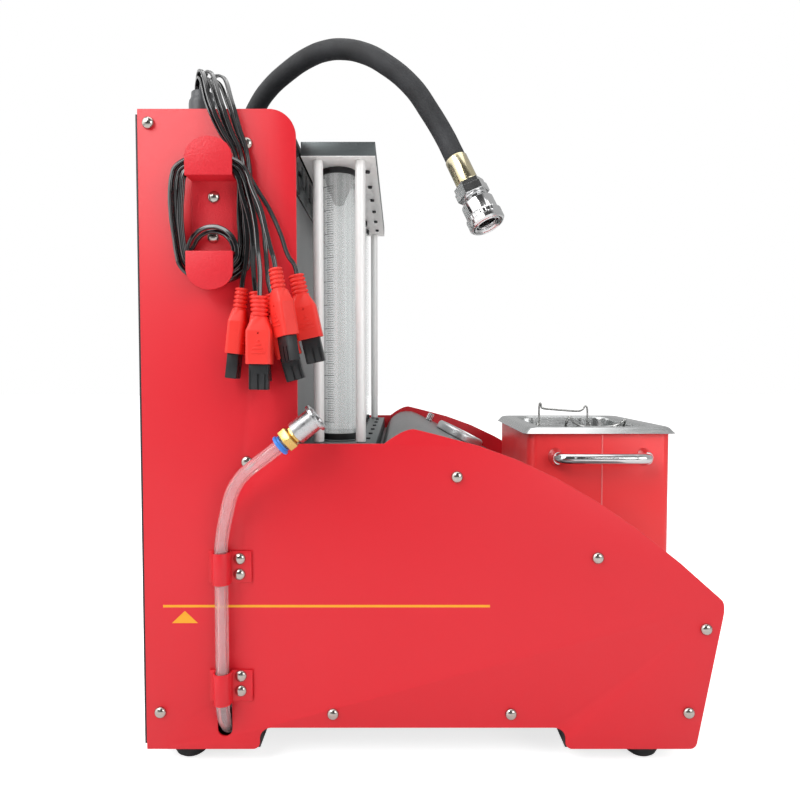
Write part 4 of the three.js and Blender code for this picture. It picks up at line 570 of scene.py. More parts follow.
vinyl = Surface("lead vinyl")
bloom = vinyl.noise(300, 2)
vinyl.done(paint(20, 20, 22), vinyl.spread(bloom, 0.14, 0.2), Coat_Weight=1, Coat_Roughness=0.06)
leads = []
for i in range(len(PLUGS)):
    lead = line([at(*p) for p in lead_route(i)], 0)
    path = centreline(lead)
    lead.data.bevel_mode, lead.data.bevel_object = "OBJECT", cores
    lead = fit(as_mesh(lead), f"injector_lead_{i + 1}", vinyl, ["injector_leads"])
    leads.append((lead, path))
bpy.data.objects.remove(cores)
fit(put(turned([(6.4, 513.6), (6.4, 517.2), (5.8, 518.1), (3, 518.3)], 28, 0.2),
        moved(*GLAND, 0)), "lead_root", rubber)


# Injector plugs: soft red boots with a ribbed neck, moulded round the leads, and below each the black two-pin
# connector that snaps onto an injector. All six are cast in one mould.
def own(x, y, z):
    return Vector((x, y, z)) * MM


def slab(low, high, bevel=0, segments=2, where=at):
    """A block between two corners, with broken edges."""
    low, high = where(*low), where(*high)
    deselect()
    bpy.ops.mesh.primitive_cube_add(size=1, location=(low + high) / 2)
    bpy.ops.object.mode_set(mode="EDIT")
    bpy.ops.transform.resize(value=high - low, center_override=(low + high) / 2)
    return tidy(bevel, segments)


def shaped(piece, operation, *tools):
    """Adds other solids to a piece, or cuts them out of it."""
    alone(piece)
    for tool in tools:
        step = piece.modifiers.new("step", "BOOLEAN")
        step.object, step.operation, step.solver = tool, operation, "EXACT"
        bpy.ops.object.modifier_apply(modifier="step")
        bpy.data.objects.remove(tool)
    bpy.ops.object.shade_smooth_by_angle(angle=math.radians(35))
    return piece


def copied(piece, place):
    """A copy of a piece with its own mesh, set in place."""
    copy = bpy.data.objects.new(piece.name, piece.data.copy())
    scene.collection.objects.link(copy)
    return put(copy, place)


def drop(*pieces):
    """Takes away pieces that were only there to be copied."""
    for piece in pieces:
        bpy.data.objects.remove(piece)


NECK = 4.5
RIB_PITCH = 3
ribs = [(NECK - 0.7, -0.1), (NECK, -0.7)]
for i in range(5):
    top, wide = -1.7 - RIB_PITCH * i, NECK + 0.06 * i
    ribs += [(wide, top), (wide - 1, top - 0.15), (wide - 1, top - 1.15), (wide + 0.06, top - 1.3)]
ribs += [(4.8, -16.5), (4.8, -19)]
neck = put(turned(ribs[::-1], 36, 0.2), Matrix.Diagonal((1.27, 1.03, 1, 1)))
boot = slab((-9.2, -6, -48), (9.2, 6, -24.5), where=own)
edit(boot)
pick("FACE", lambda f: f.normal.z > 0.9)
extrude_up(8.5)
bpy.ops.transform.resize(value=(0.62, 0.78, 1), center_override=own(0, 0, -16))
pick("EDGE", lambda e: abs(e.verts[0].co.z - e.verts[1].co.z) > 5 * MM)
bpy.ops.mesh.bevel(offset=2.1 * MM, segments=2)
pick("EDGE", lambda e: e.calc_face_angle(0) > 0.3)
bpy.ops.mesh.bevel(offset=0.5 * MM, segments=2)
bpy.ops.object.mode_set(mode="OBJECT")
boot = shaped(boot, "UNION", neck)
boot = shaped(boot, "DIFFERENCE", put(turned([(0.7, -2), (0.7, 2)], 12),
              moved(0, -6, -26.4, own) @ spun(90, "X")))
for z, wide in ((-31.7, 0.7), (-34.2, 1.9), (-37, 3.5), (-39.9, 5.2)):
    for side in (-6, 6):
        bar = slab((-wide, side - 0.55, z - 0.55), (wide, side + 0.55, z + 0.55), 0.2, where=own)
        boot = joined(boot, bar)
tip = slab((-6.8, -4.2, -66), (6.8, 4.2, -47.5), 0.6, where=own)
TIP_CUTS = [
    ((-0.7, -5, -67), (0.7, -3.2, -55)), ((4.3, -5, -67), (5.5, -3.4, -55)),
    ((-6, -5, -67), (-5.2, -3.6, -52)), ((-1.9, 3.2, -67), (1.9, 5, -52)),
    ((-5.4, -2.7, -67), (5.4, 2.7, -57)),
]
tip = shaped(tip, "DIFFERENCE", *[slab(low, high, where=own) for low, high in TIP_CUTS])

boot_rubber = Surface("red boot rubber")
cast = boot_rubber.noise(900, 3)
cloud = boot_rubber.noise(60, 2)
boot_rubber.done(boot_rubber.mix(cloud, (240, 46, 38), (248, 62, 52)),
                 boot_rubber.spread(cast, 0.4, 0.52), Normal=boot_rubber.relief(cast, 0.00008))
nylon = plain_finish("black nylon", 700, ((30, 31, 33), (40, 42, 44)), (0.34, 0.48), 3, depth=0.00004)
for i, ((x, y, z), lean, twist) in enumerate(PLUGS):
    place = moved(x, y, z) @ spun(-lean, "Y") @ spun(twist, "Z")
    number = i + 1
    red_boot = fit(copied(boot, place), f"injector_boot_{number}", boot_rubber,
                   [f"injector_plug_{number}"])
    black_tip = fit(copied(tip, place), f"injector_connector_{number}", nylon)
    lead, path = leads[i]
drop(boot, tip)


# Drain hose: clear soft hose, 10 mm across with a 5 mm bore, that comes out of a slot in the left panel, runs
# up through two clips and ends in a push-in fitting with a blue release collar and an aluminium cup.
DRAIN = [
    (60, 9.5, 27), (60, 4.8, 31.5), (60, 0.4, 36.5), (60, -3.2, 42.5), (60, -5.2, 49), (60, -5.6, 56),
    (60, -5.6, 80), (60, -5.6, 110), (60, -5.6, 140), (60, -5.6, 160), (60, -5.6, 170), (61.4, -6.6, 181),
    (65.2, -9.6, 197), (70.9, -13.4, 215), (78.6, -16.6, 226.6), (87.6, -18.8, 234.6), (97.6, -19.9, 242.2),
    (104.14, -20, 247.35), (110.44, -20, 252.28),
]
DRAIN_RADIUS = 5
DRAIN_WALL = 2.4
drain = line([at(*p) for p in DRAIN], 0, 6)
drain_path = centreline(drain)
drain.data.bevel_depth, drain.data.use_fill_caps = DRAIN_RADIUS * MM, False
drain = as_mesh(drain)
wall = drain.modifiers.new("wall", "SOLIDIFY")
wall.thickness, wall.offset = DRAIN_WALL * MM, -1
bpy.ops.object.modifier_apply(modifier="wall")
clear = plain_finish("clear soft hose", 200, ((255, 236, 238), (255, 246, 247)), (0.05, 0.12),
                     Transmission_Weight=0.85, IOR=1.38)
fit(drain, "clear_drain_hose", clear, ["drain_hose"])

cup_place = aimed((106.5, -20, 249.2), (0.787, 0, 0.617))
acetal = plain_finish("blue acetal", 500, ((52, 128, 228), (70, 146, 240)), (0.3, 0.42))
collar = fit(put(turned([(5.3, 0), (7.2, 0), (7.8, 0.5), (7.8, 2), (7.3, 2.4), (6.4, 2.5), (6.4, 4), (5.3, 4),
                         (5.3, 0)], 48, 0.2), cup_place),
             "blue_release_collar", acetal, ["drain_collar"], "collar")
brass = plain_finish("bright brass", 260, ((214, 178, 104), (230, 198, 124)), (0.18, 0.3), Metallic=1)
nut = turned([(8.2, 5.3), (9.4, 6), (9.4, 11.6), (8.4, 12.4), (6.2, 12.5), (6.2, 12.8), (7, 13.1), (7, 14.8),
              (3, 14.8), (3, 5.3), (8.2, 5.3)], 6, 0.3)
fit(put(nut, cup_place), "push_in_fitting", brass, ["drain_fitting"])
machined = plain_finish("machined aluminium", 400, ((190, 191, 193), (212, 213, 214)), (0.22, 0.36),
                        Metallic=1)
cup = turned([
    (6.4, 15.1), (8.2, 15.1), (8.6, 15.5), (8.6, 32.1), (9, 32.5), (10.5, 32.5), (10.8, 32.8), (10.8, 34.8),
    (10.5, 35.1), (7.6, 35.1), (7.3, 34.7), (7.3, 17.7), (2, 17.6), (2, 15.1), (6.4, 15.1),
], 56, 0.15)
cup = fit(put(cup, cup_place), "drain_cup_turned", machined, ["drain_cup"])


# Side panels: two laser-cut steel sheets of one outline, powder-coated red with a fine orange-peel skin. The
# left one carries a printed guard line for the fuel level, with a plain triangle below it.
def dressed(node, name, finish, bevel=0.3, segments=2, angle=35):
    """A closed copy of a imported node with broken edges, which stands for it."""
    solid = frame["nodes"][node]
    piece = bpy.data.objects.new(name, solid.data.copy())
    scene.collection.objects.link(piece)
    edit(piece)
    bpy.ops.mesh.customdata_custom_splitnormals_clear()
    bpy.ops.mesh.select_all(action="SELECT")
    bpy.ops.mesh.remove_doubles(threshold=0.000005)
    bpy.ops.mesh.dissolve_limited(angle_limit=math.radians(0.5))
    tidy(bevel, segments, angle)
    return fit(piece, name, finish, [node], solid["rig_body"])


powder = Surface("red powder coat")
peel = powder.noise(650, 2)
drift = powder.noise(5, 2)
powder.done(powder.mix(powder.spread(drift), (221, 27, 41), (224, 31, 45)),
            powder.spread(peel, 0.36, 0.44), Normal=powder.relief(peel, 0.00003))
dressed("left_side_panel", "left_panel", powder, 0.35)
dressed("right_side_panel", "right_panel", powder, 0.35)

ink = plain_finish("printed yellow", 300, ((246, 166, 28), (250, 176, 38)), (0.4, 0.5), 3)
fit(slab((14, -0.12, 124.3), (262.4, 0.1, 126.2)), "guard_line", ink)
mark = slab((20.6, -0.12, 112.2), (40.3, 0.1, 121.5))
edit(mark)
pick("VERT", lambda v: v.co.z > 0.12)
bpy.ops.transform.resize(value=(0.01, 1, 1), center_override=at(30.5, 0, 121.5))
bpy.ops.object.mode_set(mode="OBJECT")
fit(mark, "guard_mark", ink)


# Screws: nickel-plated pan heads with a cross recess, that hold the side panels to the covers, and the winder
# and the hose clips to the left panel.
nickel = plain_finish("nickel plating", 600, ((178, 172, 164), (206, 202, 196)), (0.14, 0.26), Metallic=1)
screw = turned([
    (4.4, -0.2), (4.55, 0.1), (4.5, 0.7), (4.1, 1.6), (3.3, 2.3), (2.2, 2.8), (1, 3.05), (0.2, 3.1),
], 32)
recess = joined(slab((-2.2, -0.45, 1.9), (2.2, 0.45, 4), where=own),
                slab((-0.45, -2.2, 1.9), (0.45, 2.2, 4), where=own))
screw = shaped(screw, "DIFFERENCE", recess)
PANEL_WIDTH = 340
SCREW_TWIST = 37
PANEL_SCREWS = [(8.2, 486.6), (80.8, 471.6), (78.8, 235.3), (237, 223.9), (344, 162.2), (427, 107.4),
                (414.8, 42.6), (278.9, 41.6), (142.7, 41.6), (10.9, 43)]
FITTING_SCREWS = [(56.7, 431.8, -1.8), (55.9, 402.5, -1.8), (72.9, 162.1, -1.2), (72.7, 150.2, -1.2),
                  (73, 72, -1.2), (72.9, 60.5, -1.2)]
screws = [(x, 0, z, 90) for x, z in PANEL_SCREWS] + [(x, PANEL_WIDTH, z, -90) for x, z in PANEL_SCREWS]
screws += [(x, y, z, 90) for x, z, y in FITTING_SCREWS]
for i, (x, y, z, side) in enumerate(screws):
    place = moved(x, y, z) @ spun(side, "X") @ spun(SCREW_TWIST * i, "Z")
    fit(copied(screw, place), f"screw_{i + 1}", nickel)
drop(screw)


# Cable winder and hose clips: steel strips, bent to shape and screwed to the left panel. The winder has a
# coarse wrinkled red coat, and the clips have the panel's own powder coat.
wrinkle = plain_finish("wrinkled red coat", 850, ((218, 27, 42), (230, 38, 52)), (0.42, 0.56), 3,
                       depth=0.0003)
dressed("cable_winder", "winder_bracket", wrinkle, 0.4)
dressed("hose_clip_lower", "lower_hose_clip", powder, 0.25)
dressed("hose_clip_upper", "upper_hose_clip", powder, 0.25)


# Covers, tray and bay: folded steel. What faces outwards at the back and top is black with a fine texture,
# and the column's front, the front cover and the bath's bay are coated satin grey.
black_coat = plain_finish("black textured coat", 1100, ((38, 39, 41), (50, 51, 53)), (0.5, 0.62),
                          depth=0.00008)
grey_coat = Surface("satin grey coat")
fleck = grey_coat.noise(1500, 2)
tone = grey_coat.noise(8, 2)
grey_coat.done(grey_coat.mix(tone, (132, 131, 132), (142, 141, 142)),
               grey_coat.spread(fleck, 0.3, 0.42), Metallic=0.55, Normal=grey_coat.relief(fleck, 0.00003))
for node, name, finish, slot in [
    ("back_cover", "rear_cover", black_coat, "dark_paint"),
    ("top_cover", "upper_cover", black_coat, "dark_paint"),
    ("base_tray", "bottom_tray", black_coat, "dark_paint"),
    ("column_panel", "column_front", grey_coat, "grey_paint"),
    ("front_cover", "sloping_cover", grey_coat, "grey_paint"),
    ("bath_bay", "bay_sheet", grey_coat, "grey_paint"),
]:
    dressed(node, name, finish, 0.25)


# Display panel: glossy black front sheet at the column's top with a rounded lower edge. It carries a dark
# blank window and two groups of flat membrane keys, which give under a finger without any travel.
gloss = plain_finish("gloss black", 30, ((18, 19, 21), (24, 25, 27)), (0.08, 0.16))
dressed("display_panel", "keypad_sheet", gloss, 0.2)
window_glass = plain_finish("display window", 14, ((30, 40, 46), (38, 50, 58)), (0.04, 0.1))
fit(slab((116.9, 130, 445.5), (117.35, 210, 467), 0.2), "display_window", window_glass)
key_film = plain_finish("key film", 800, ((34, 36, 39), (42, 45, 48)), (0.3, 0.4))
KEY_PITCH = 23
SECOND_GROUP = 194
key = slab((116.9, 30, 449), (117.5, 46, 463.5), 0.25)
for i in range(8):
    shift = moved(0, i // 4 * SECOND_GROUP + i % 4 * KEY_PITCH, 0, own)
    fit(copied(key, shift), f"membrane_key_{i + 1}", key_film)
drop(key)


# Measuring rack: six glass tubes stand between an anodised top plate, which the injectors hang in, and a
# base block. Black gaskets and rubber cones close the tubes' ends, black lines and figures grade them, and
# four steel pillars and small bolts hold it together.
anodised = Surface("grey anodising")
satin = anodised.noise(1300, 2)
shade = anodised.noise(10, 2)
anodised.done(anodised.mix(shade, (104, 110, 111), (114, 120, 121)),
              anodised.spread(satin, 0.3, 0.42), Metallic=0.85)
# The top plate is grey anodising above its underside. Below PLATE_UNDERSIDE it is painted near white and not
# metallic: a painted reflection of the bright floor and pillars beneath it.
PLATE_UNDERSIDE = 468.3
painted_reflection = Surface("faced underside")
facing = painted_reflection.noise(900, 2)
under = painted_reflection.height() < PLATE_UNDERSIDE * MM
painted_reflection.done(painted_reflection.mix(under, (108, 114, 115), (252, 252, 250)), painted_reflection.spread(facing, 0.36, 0.5),
           Metallic=0.8 - under * 0.8)
dressed("rack_top_plate", "rack_top", painted_reflection, 0.5)
dressed("rack_base_block", "rack_base", anodised, 0.5)
steel = plain_finish("ground steel", 500, ((246, 246, 245), (255, 255, 254)), (0.36, 0.46),
                     stretch=(1, 1, 0.06), Metallic=0.1)
pillar = turned([(3, 247.5), (4, 248.3), (4, 466.6), (3.2, 467.6)], 40)
for number, (x, y) in enumerate(((130, 27), (163, 27), (130, 313), (163, 313)), 1):
    fit(copied(pillar, moved(x, y, 0)), f"steel_pillar_{number}", steel,
        [f"rack_pillar_{number}"])
drop(pillar)

# The glass is painted with pale vertical bands, which are painted reflection streaks. Emission in the same
# colour gives a painted glow that stands in for light passing through the tubes from behind.
glass = Surface("measuring glass")
sheen_band_noise = glass.noise(330, 2, (1, 1, 0.004))
painted_sheen_bands = glass.mix(glass.spread(sheen_band_noise, low=0.35, high=0.65), (196, 202, 201), (255, 255, 255))
glass.done(painted_sheen_bands, glass.spread(sheen_band_noise, 0.02, 0.08), Alpha=0.26, Coat_Weight=0.3, Coat_Roughness=0.03,
           Emission_Color=painted_sheen_bands, Emission_Strength=0.3)
enamel = plain_finish("black scale enamel", 900, ((26, 28, 30), (44, 46, 48)), 0.45)
milk = plain_finish("milk glass stripe", 60, ((226, 236, 236), (238, 246, 246)), 0.3)
TUBE_RADIUS = 13.4
TUBE_WALL = 2
TUBE_LOW, TUBE_HIGH = 247.6, 467.4
SCALE_TURN = -120
TUBE_ROUNDING = 0.4
TUBE_X, FIRST_TUBE_Y, TUBE_PITCH = 144, 55, 46
tube = turned([
    (TUBE_RADIUS - TUBE_ROUNDING, TUBE_LOW), (TUBE_RADIUS, TUBE_LOW + TUBE_ROUNDING),
    (TUBE_RADIUS, TUBE_HIGH - TUBE_ROUNDING), (TUBE_RADIUS - TUBE_ROUNDING, TUBE_HIGH),
    (TUBE_RADIUS - TUBE_WALL, TUBE_HIGH), (TUBE_RADIUS - TUBE_WALL, TUBE_LOW),
    (TUBE_RADIUS - TUBE_ROUNDING, TUBE_LOW),
], 72)


def middle(item):
    return sum((vertex.co for vertex in item.verts), Vector()) / len(item.verts)


def band(radius, low, high, centre, half, sides=120):
    """A thin strip printed round part of a tube."""
    ring(sides, radius, low)
    extrude_up(high - low)
    ahead = Vector((math.cos(math.radians(centre)), math.sin(math.radians(centre))))
    pick("FACE", lambda f: middle(f).xy.normalized().dot(ahead) < math.cos(math.radians(half)))
    bpy.ops.mesh.delete(type="FACE")
    return tidy()


def repeated(piece, count, rise):
    """The piece many times over, each one higher by the same rise."""
    alone(piece)
    rows = piece.modifiers.new("rows", "ARRAY")
    rows.use_relative_offset, rows.use_constant_offset = False, True
    rows.count, rows.constant_offset_displace = count, own(0, 0, rise)
    bpy.ops.object.modifier_apply(modifier="rows")
    return piece


FIGURE_SIZE = 4


def figure(text):
    """A flat figure, which faces up."""
    deselect()
    bpy.ops.object.text_add()
    label = bpy.context.object.data
    label.body = text
    label.size = FIGURE_SIZE * MM
    label.align_x = "CENTER"
    label.align_y = "CENTER"
    bpy.ops.object.convert(target="MESH")
    return bpy.context.object


FIRST_LINE = 262
LINE_PITCH = 1.9
LINES = ((1, 0.04, 0.28, 0, 13), (5, 0.05, 0.34, -4, 18), (10, 0.06, 0.4, -8, 24))
lines = []
for every, proud, width, shift, half in LINES:
    stroke = band(TUBE_RADIUS + proud, FIRST_LINE, FIRST_LINE + width, SCALE_TURN + shift, half)
    lines.append(repeated(stroke, 100 // every + 1, every * LINE_PITCH))
stripe = band(TUBE_RADIUS + 0.03, TUBE_LOW + 12, TUBE_HIGH - 14, SCALE_TURN + 180, 15)
top_gasket = turned([(13.5, 462.4), (14.3, 462.8), (14.3, 467), (13.5, 467.5), (13.5, 462.4)], 56, 0.2)
low_gasket = turned([(13.5, 247.6), (14.3, 248), (14.3, 252.6), (13.5, 253), (13.5, 247.6)], 56, 0.2)
cone = turned([
    (6, 467.5), (11.2, 467.5), (11.2, 459.5), (10, 455), (3.6, 440), (2.4, 440), (8.4, 455), (6, 460),
    (6, 467.5),
], 48, 0.2)
gaskets = joined(top_gasket, low_gasket, cone)
upright = spun(90, "Z") @ spun(90, "X")
beside = spun(SCALE_TURN - 44, "Z")
for tens in range(1, 11):
    spot = moved(TUBE_RADIUS + 0.12, 0, FIRST_LINE + 10 * tens * LINE_PITCH, own)
    lines.append(put(figure(str(10 * tens)), beside @ spot @ upright))
scale = joined(*lines)
for number in range(1, 7):
    place = moved(TUBE_X, FIRST_TUBE_Y + TUBE_PITCH * (number - 1), 0)
    fit(copied(tube, place), f"measuring_tube_{number}", glass, [f"glass_tube_{number}"])
    fit(copied(scale, place), f"tube_scale_{number}", enamel)
    fit(copied(stripe, place), f"tube_stripe_{number}", milk)
    fit(copied(gaskets, place), f"tube_gaskets_{number}", rubber)
drop(tube, scale, stripe, gaskets)
BOLT_X = 167.5
BOLT_MIDDLE = 357.2
bolt = turned([(1.9, 467.9), (1.9, 466.2), (1.6, 465.8), (0.3, 465.8)], 20)
upside_down = moved(0, 0, 2 * BOLT_MIDDLE, own) @ spun(180, "X")
for i in range(12):
    place = moved(BOLT_X, FIRST_TUBE_Y + TUBE_PITCH * (i % 6), 0)
    if i >= 6:
        place = place @ upside_down
    fit(copied(bolt, place), f"rack_bolt_{i + 1}", enamel)
drop(bolt)


# Pressure gauge and knob on the front cover's slope: a chromed bezel round a white dial with a plain scale
# of numbers, a black needle under glass, and beside it a small knurled and chromed knob.
SLOPE = 26.6
SLOPE_START = (231, 243.55)
SLOPE_LIFT = 0.3


def on_slope(x, y):
    """The place of a piece that is built upright and stands on the cover's slope."""
    z = SLOPE_START[1] - (x - SLOPE_START[0]) * math.tan(math.radians(SLOPE))
    return moved(x, y, z) @ spun(SLOPE, "Y") @ moved(0, 0, SLOPE_LIFT, own)


gauge_place = on_slope(259, 249)
satin_chrome = plain_finish("satin chrome", 400, ((206, 208, 209), (222, 224, 225)), (0.3, 0.4), Metallic=0.8)
bezel = turned([
    (26, 0), (27, 0.8), (27, 6), (26.4, 7.6), (25, 8.8), (23.6, 8.8), (22.8, 7.8), (22.8, 3.6), (22.8, 0),
    (26, 0),
], 96)
fit(put(bezel, gauge_place), "gauge_bezel", satin_chrome, ["pressure_gauge"])
enamelled = plain_finish("white dial enamel", 50, ((238, 238, 234), (246, 246, 243)), 0.35)
dial = turned([(22.75, 0.4), (22.75, 3.9), (22, 4)], 96)
fit(put(dial, gauge_place), "gauge_dial", enamelled)
MARKS = 40
SWEEP = 270
NUMBER_RING = 13
marks = []
for i in range(MARKS + 1):
    angle = -45 - SWEEP * i / MARKS
    major = i % 4 == 0
    inner, half = (16.5, 0.35) if major else (19, 0.18)
    marks.append(put(slab((inner, -half, 4), (21, half, 4.08), where=own), spun(angle, "Z")))
    if major:
        spot = spun(angle, "Z") @ moved(NUMBER_RING, 0, 4.06, own) @ spun(90 - angle, "Z")
        marks.append(put(figure(str(i // 4)), spot))
fit(put(joined(*marks), gauge_place), "gauge_scale", enamel)
dressed("gauge_needle", "black_needle", gloss, 0.08)
lens_glass = plain_finish("gauge glass", 20, ((248, 250, 250), (253, 254, 254)), 0.02,
                          Transmission_Weight=1, IOR=1.05)
pane = turned([(22.75, 6.8), (22.75, 7.7), (17, 8), (8, 8.2), (1, 8.25), (1, 6.9), (22.75, 6.8)], 72)
fit(put(pane, gauge_place), "gauge_glass", lens_glass)
KNOB_SIDES = 48
knob = turned([
    (3.6, 0), (4.1, 0.4), (4.1, 1.6), (3.4, 1.9), (4, 2.4), (4, 7), (3.7, 8.4), (2.8, 9), (0.8, 9),
], KNOB_SIDES)
knurl(knob, KNOB_SIDES, 2, 0.93, lambda radius, z: radius > 3.9 and 2.2 < z < 7.2)
fit(put(knob, on_slope(228, 300)), "pressure_knob_knurled", chrome, ["pressure_knob"], "knob")


# Mains inlet: black moulded inlet in the rear cover with its three brass contacts, and above it the rocker
# that switches the machine on.
plastic = plain_finish("moulded black plastic", 1500, ((28, 29, 31), (36, 37, 39)), (0.36, 0.5),
                       depth=0.00004)
dressed("mains_inlet", "inlet_moulding", plastic, 0.3)
dressed("power_switch", "switch_rocker", gloss, 0.35)
for number, (y, z) in enumerate(((55.5, 89), (68.5, 89), (62, 94.5)), 1):
    contact = slab((-1, y - 1, z - 2.2), (9.6, y + 1, z + 2.2), 0.3)
    fit(contact, f"inlet_contact_{number}", brass)


# Feet: four black rubber buttons with domed soles, moulded in one mould and fixed under the base tray near
# its corners.
foot = turned([(4, 0), (7, 0.2), (9, 0.8), (11.4, 2.6), (12.8, 5.2), (13, 8), (13, 13.4), (12.4, 14)])
for number, (x, y) in enumerate(((28, 22), (386, 22), (28, 318), (386, 318)), 1):
    fit(copied(foot, moved(x, y, 0)), f"rubber_foot_{number}", rubber,
        [f"foot_{number}"])
drop(foot)


# Glands on the top cover: a grey plastic one that the six leads share, and a moulded black one that grips the
# fuel hose's root.
grey_plastic = plain_finish("grey plastic", 700, ((74, 76, 79), (84, 86, 89)), (0.34, 0.46))
gland = turned([
    (9.6, 495.3), (10, 495.7), (10, 509), (9.6, 511.4), (8.8, 512.6), (8.2, 514.6), (8, 517.8),
    (7.6, 518.3), (6.6, 518.3), (6.6, 513.3), (6.6, 505), (6.6, 495.3), (9.6, 495.3),
])
fit(put(gland, moved(*GLAND, 0)), "grey_lead_gland", grey_plastic,
    ["lead_gland"])
dressed("hose_gland", "black_hose_gland", plastic, 0.4)


# Ultrasonic bath, which lifts out of the bay: a red enamelled housing of folded sheet with a seam down its
# near side, a pressed stainless tank whose wide rim hangs over it, and a bent chrome handle on each side.
enamel_red = plain_finish("red stove enamel", 40, ((255, 48, 52), (255, 55, 58)), (0.34, 0.44),
                          Coat_Weight=0.16, Coat_Roughness=0.12)
dressed("bath_housing", "bath_shell", enamel_red, 0.3)
# The seam strip is painted a lighter red than the housing: a painted highlight along its rounded folded edge.
seam_highlight = plain_finish("worn enamel edge", 300, ((255, 112, 114), (255, 132, 134)), 0.4)
fit(slab((385.2, 131.4, 36), (386.6, 132.2, 243.6), 0.35, 3), "bath_seam", seam_highlight, body="bath")

brushed = Surface("pressed stainless")
brushing = brushed.noise(380, 2, (0.12, 1, 1))
brushed.done(brushed.mix(brushing, (196, 198, 198), (216, 218, 218)),
             brushed.spread(brushing, 0.2, 0.3, 0.25, 0.75), Metallic=1)


def pressed(levels, low, high):
    """Sheet pressed to shape: each level holds its inset from the outline, its height and corner radius."""
    deselect()
    for inset, z, corner in levels:
        near, far = at(low[0] + inset, low[1] + inset, z), at(high[0] - inset, high[1] - inset, z)
        bpy.ops.mesh.primitive_plane_add(size=1, location=(near + far) / 2)
        bpy.ops.object.mode_set(mode="EDIT")
        bpy.ops.transform.resize(value=((far - near).x, (far - near).y, 1), center_override=(near + far) / 2)
        bpy.ops.mesh.bevel(offset=corner * MM, segments=10, affect="VERTICES")
        if z not in (levels[0][1], levels[-1][1]):
            bpy.ops.mesh.delete(type="ONLY_FACE")
    piece = tidy()
    edit(piece)
    for (_, z0, _), (_, z1, _) in zip(levels, levels[1:]):
        pick("EDGE", lambda e: all(min(abs(v.co.z / MM - z) for z in (z0, z1)) < 0.004 for v in e.verts))
        bpy.ops.mesh.bridge_edge_loops()
    return tidy()


BATH_LOW, BATH_HIGH = (315.4, 132), (451.4, 304)
BATH_MIDDLE_X = (BATH_LOW[0] + BATH_HIGH[0]) / 2
BATH_MIDDLE_Y = (BATH_LOW[1] + BATH_HIGH[1]) / 2
HANDLE_HEIGHT = 222.7
HANDLE_RADIUS = 5
HANDLE_LEGS = (341.4, 425.4)
fit(pressed([
    (24, 151.72, 8), (18, 151.9, 13), (15.6, 153.6, 15.4), (14.9, 157, 16), (14.9, 247, 16),
    (14.4, 249.2, 16.5), (13.2, 250.4, 17.4), (11.4, 250.82, 18.4), (3.4, 250.86, 12), (1.6, 250.9, 10),
    (0.4, 250.5, 9), (-0.9, 249.4, 8.4), (-3.3, 246.2, 8.2), (-4.2, 245.3, 8), (-4.5, 244.95, 8),
    (-4.2, 244.7, 8), (13.9, 244.66, 16.8), (14.04, 244.2, 16.8), (14.05, 157.2, 16.8), (15, 153.2, 15.8),
    (17.6, 151.2, 13.4), (24, 150.95, 8),
], BATH_LOW, BATH_HIGH), "pressed_tank", brushed, ["bath_tank"], "bath")
boss = turned([(7.6, 0.02), (7.5, 0.6), (6.8, 2.4), (6, 5), (5.4, 8.4), (5, 12)])
put(boss, Matrix.Diagonal((0.9, 1.12, 1, 1)))
grip = [(HANDLE_LEGS[0], 131.7), (HANDLE_LEGS[0], 127), (341.7, 122), (344.4, 116.6), (350, 114.3),
        (357.4, 114), (BATH_MIDDLE_X, 114)]
grip += [(2 * BATH_MIDDLE_X - x, y) for x, y in grip[-2::-1]]
for side, way in (("near", 1), ("far", -1)):
    mirrored = [(x, y if side == "near" else 2 * BATH_MIDDLE_Y - y) for x, y in grip]
    bar = as_mesh(line([at(x, y, HANDLE_HEIGHT) for x, y in mirrored], HANDLE_RADIUS * MM, 8))
    outwards = spun(90 * way, "X")
    ends = [copied(boss, moved(x, mirrored[0][1], HANDLE_HEIGHT) @ outwards) for x in HANDLE_LEGS]
    fit(joined(bar, *ends), f"chrome_grip_{side}", chrome, [f"bath_handle_{side}"], "bath")
drop(boss)


# Wash basket, which lifts out of the tank: a tub of woven stainless mesh with a wire rim and four lugs, in
# which two bent wire handles fold. Each handle has two ears, and its bar dips between them.
wire_steel = plain_finish("bright wire", 900, ((190, 190, 188), (216, 216, 214)), (0.14, 0.26), Metallic=1)
(x0, y0), (x1, y1) = (335.6, 159.2), (431.2, 276.8)
MESH_INSET = 0.8
MESH_PITCH = 4
mesh_tub = slab((x0 + MESH_INSET, y0 + MESH_INSET, 153), (x1 - MESH_INSET, y1 - MESH_INSET, 237.6))
edit(mesh_tub)
pick("EDGE", lambda e: abs(e.verts[0].co.z - e.verts[1].co.z) > 50 * MM)
bpy.ops.mesh.bevel(offset=12 * MM, segments=6)
pick("FACE", lambda f: f.normal.z > 0.9)
bpy.ops.mesh.delete(type="ONLY_FACE")
cuts = [(at(x, 0, 0), (1, 0, 0)) for x in range(339, 431, MESH_PITCH)]
cuts += [(at(0, y, 0), (0, 1, 0)) for y in range(162, 276, MESH_PITCH)]
cuts += [(at(0, 0, z), (0, 0, 1)) for z in range(157, 237, MESH_PITCH)]
for spot, way in cuts:
    bpy.ops.mesh.select_all(action="SELECT")
    bpy.ops.mesh.bisect(plane_co=spot, plane_no=way)
tidy()
weave = mesh_tub.modifiers.new("weave", "WIREFRAME")
weave.thickness, weave.use_even_offset, weave.offset = 0.9 * MM, False, 0
bpy.ops.object.modifier_apply(modifier="weave")
mesh_tub = tidy(angle=60)
hoop = [(x0 + 30, y0), (x1 - 30, y0), (x1 - 18, y0), (x1 - 12, y0), (x1 - 3.5, y0 + 3.5), (x1, y0 + 12),
        (x1, y0 + 18)]
half_turn = [(x0 + x1 - x, y0 + y1 - y) for x, y in hoop]
side_way = [(x1, y1 - 18), (x1, y1 - 12), (x1 - 3.5, y1 - 3.5), (x1 - 12, y1), (x1 - 18, y1)]
other_way = [(x0 + x1 - x, y0 + y1 - y) for x, y in side_way]
rims = []
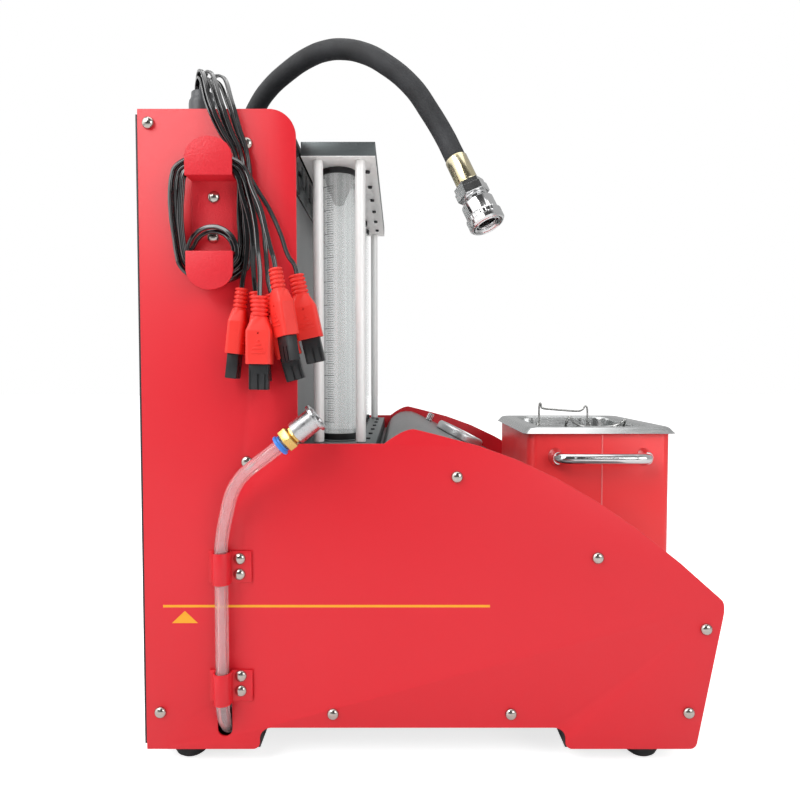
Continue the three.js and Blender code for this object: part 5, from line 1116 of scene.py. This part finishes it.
for z, radius in ((237.4, 1.3), (153.6, 1)):
    rim = line([at(x, y, z) for x, y in hoop + side_way + half_turn + other_way], radius * MM, 4)
    rim.data.splines[0].use_cyclic_u = True
    rims.append(as_mesh(rim))
lugs = [slab((x, y - 3, 233), (x + 1, y + 3, 244), 0.3) for x in (352.4, 413.4) for y in (159.7, 276.3)]
fit(joined(mesh_tub, *rims, *lugs), "mesh_basket", wire_steel, ["basket"], "basket")
PIVOT_HEIGHT = 240.3
WIRE_RADIUS = 1.2
bails = {
    "near": (159.8, 42, [
        (-28, 0), (-28, 10), (-28, 20), (-27.4, 23.8), (-25.8, 26), (-24, 24.2), (-22, 20.4), (-18, 16.4),
        (-12, 13.6), (-5, 12.4), (5, 12), (14, 12.4), (20, 14), (24, 17), (26.4, 20.8), (27.8, 22.4),
        (28.5, 20.4), (28.3, 16), (28, 10), (28, 0),
    ]),
    "far": (276.2, 0, [
        (-28, 0), (-28, 10), (-28, 20), (-27.7, 24), (-26.8, 26.6), (-25.8, 23.8), (-24.6, 21.2),
        (-21, 20.2), (-10, 19.2), (5, 18), (15, 17.6), (20, 18), (23.4, 20.4), (25.4, 23.2), (27.1, 22.6),
        (27.9, 19), (28, 10), (28, 0),
    ]),
}
for side, (y, lean, shape) in bails.items():
    place = moved(BATH_MIDDLE_X, y, PIVOT_HEIGHT) @ spun(lean, "X")
    bail_wire = as_mesh(line([own(x, 0, z) for x, z in shape], WIRE_RADIUS * MM, 4))
    fit(put(bail_wire, place), f"folding_handle_{side}", wire_steel,
        [f"basket_handle_{side}"], f"{side}_bail")


# Inside the machine: the open stainless tank for the test fuel in the base, the upright pump beside it, and
# the board that drives the injectors, on the column's back.
dressed("fuel_tank", "test_fuel_tank", brushed, 0.3)
dressed("fuel_pump", "upright_pump", steel, 0.5)
resin = Surface("green circuit board")
tracks = resin.noise(420, 3)
resin.done(resin.mix(resin.spread(tracks, low=0.48, high=0.56), (20, 92, 56), (34, 120, 74)), 0.35)
dressed("control_board", "driver_board", resin, 0.2)
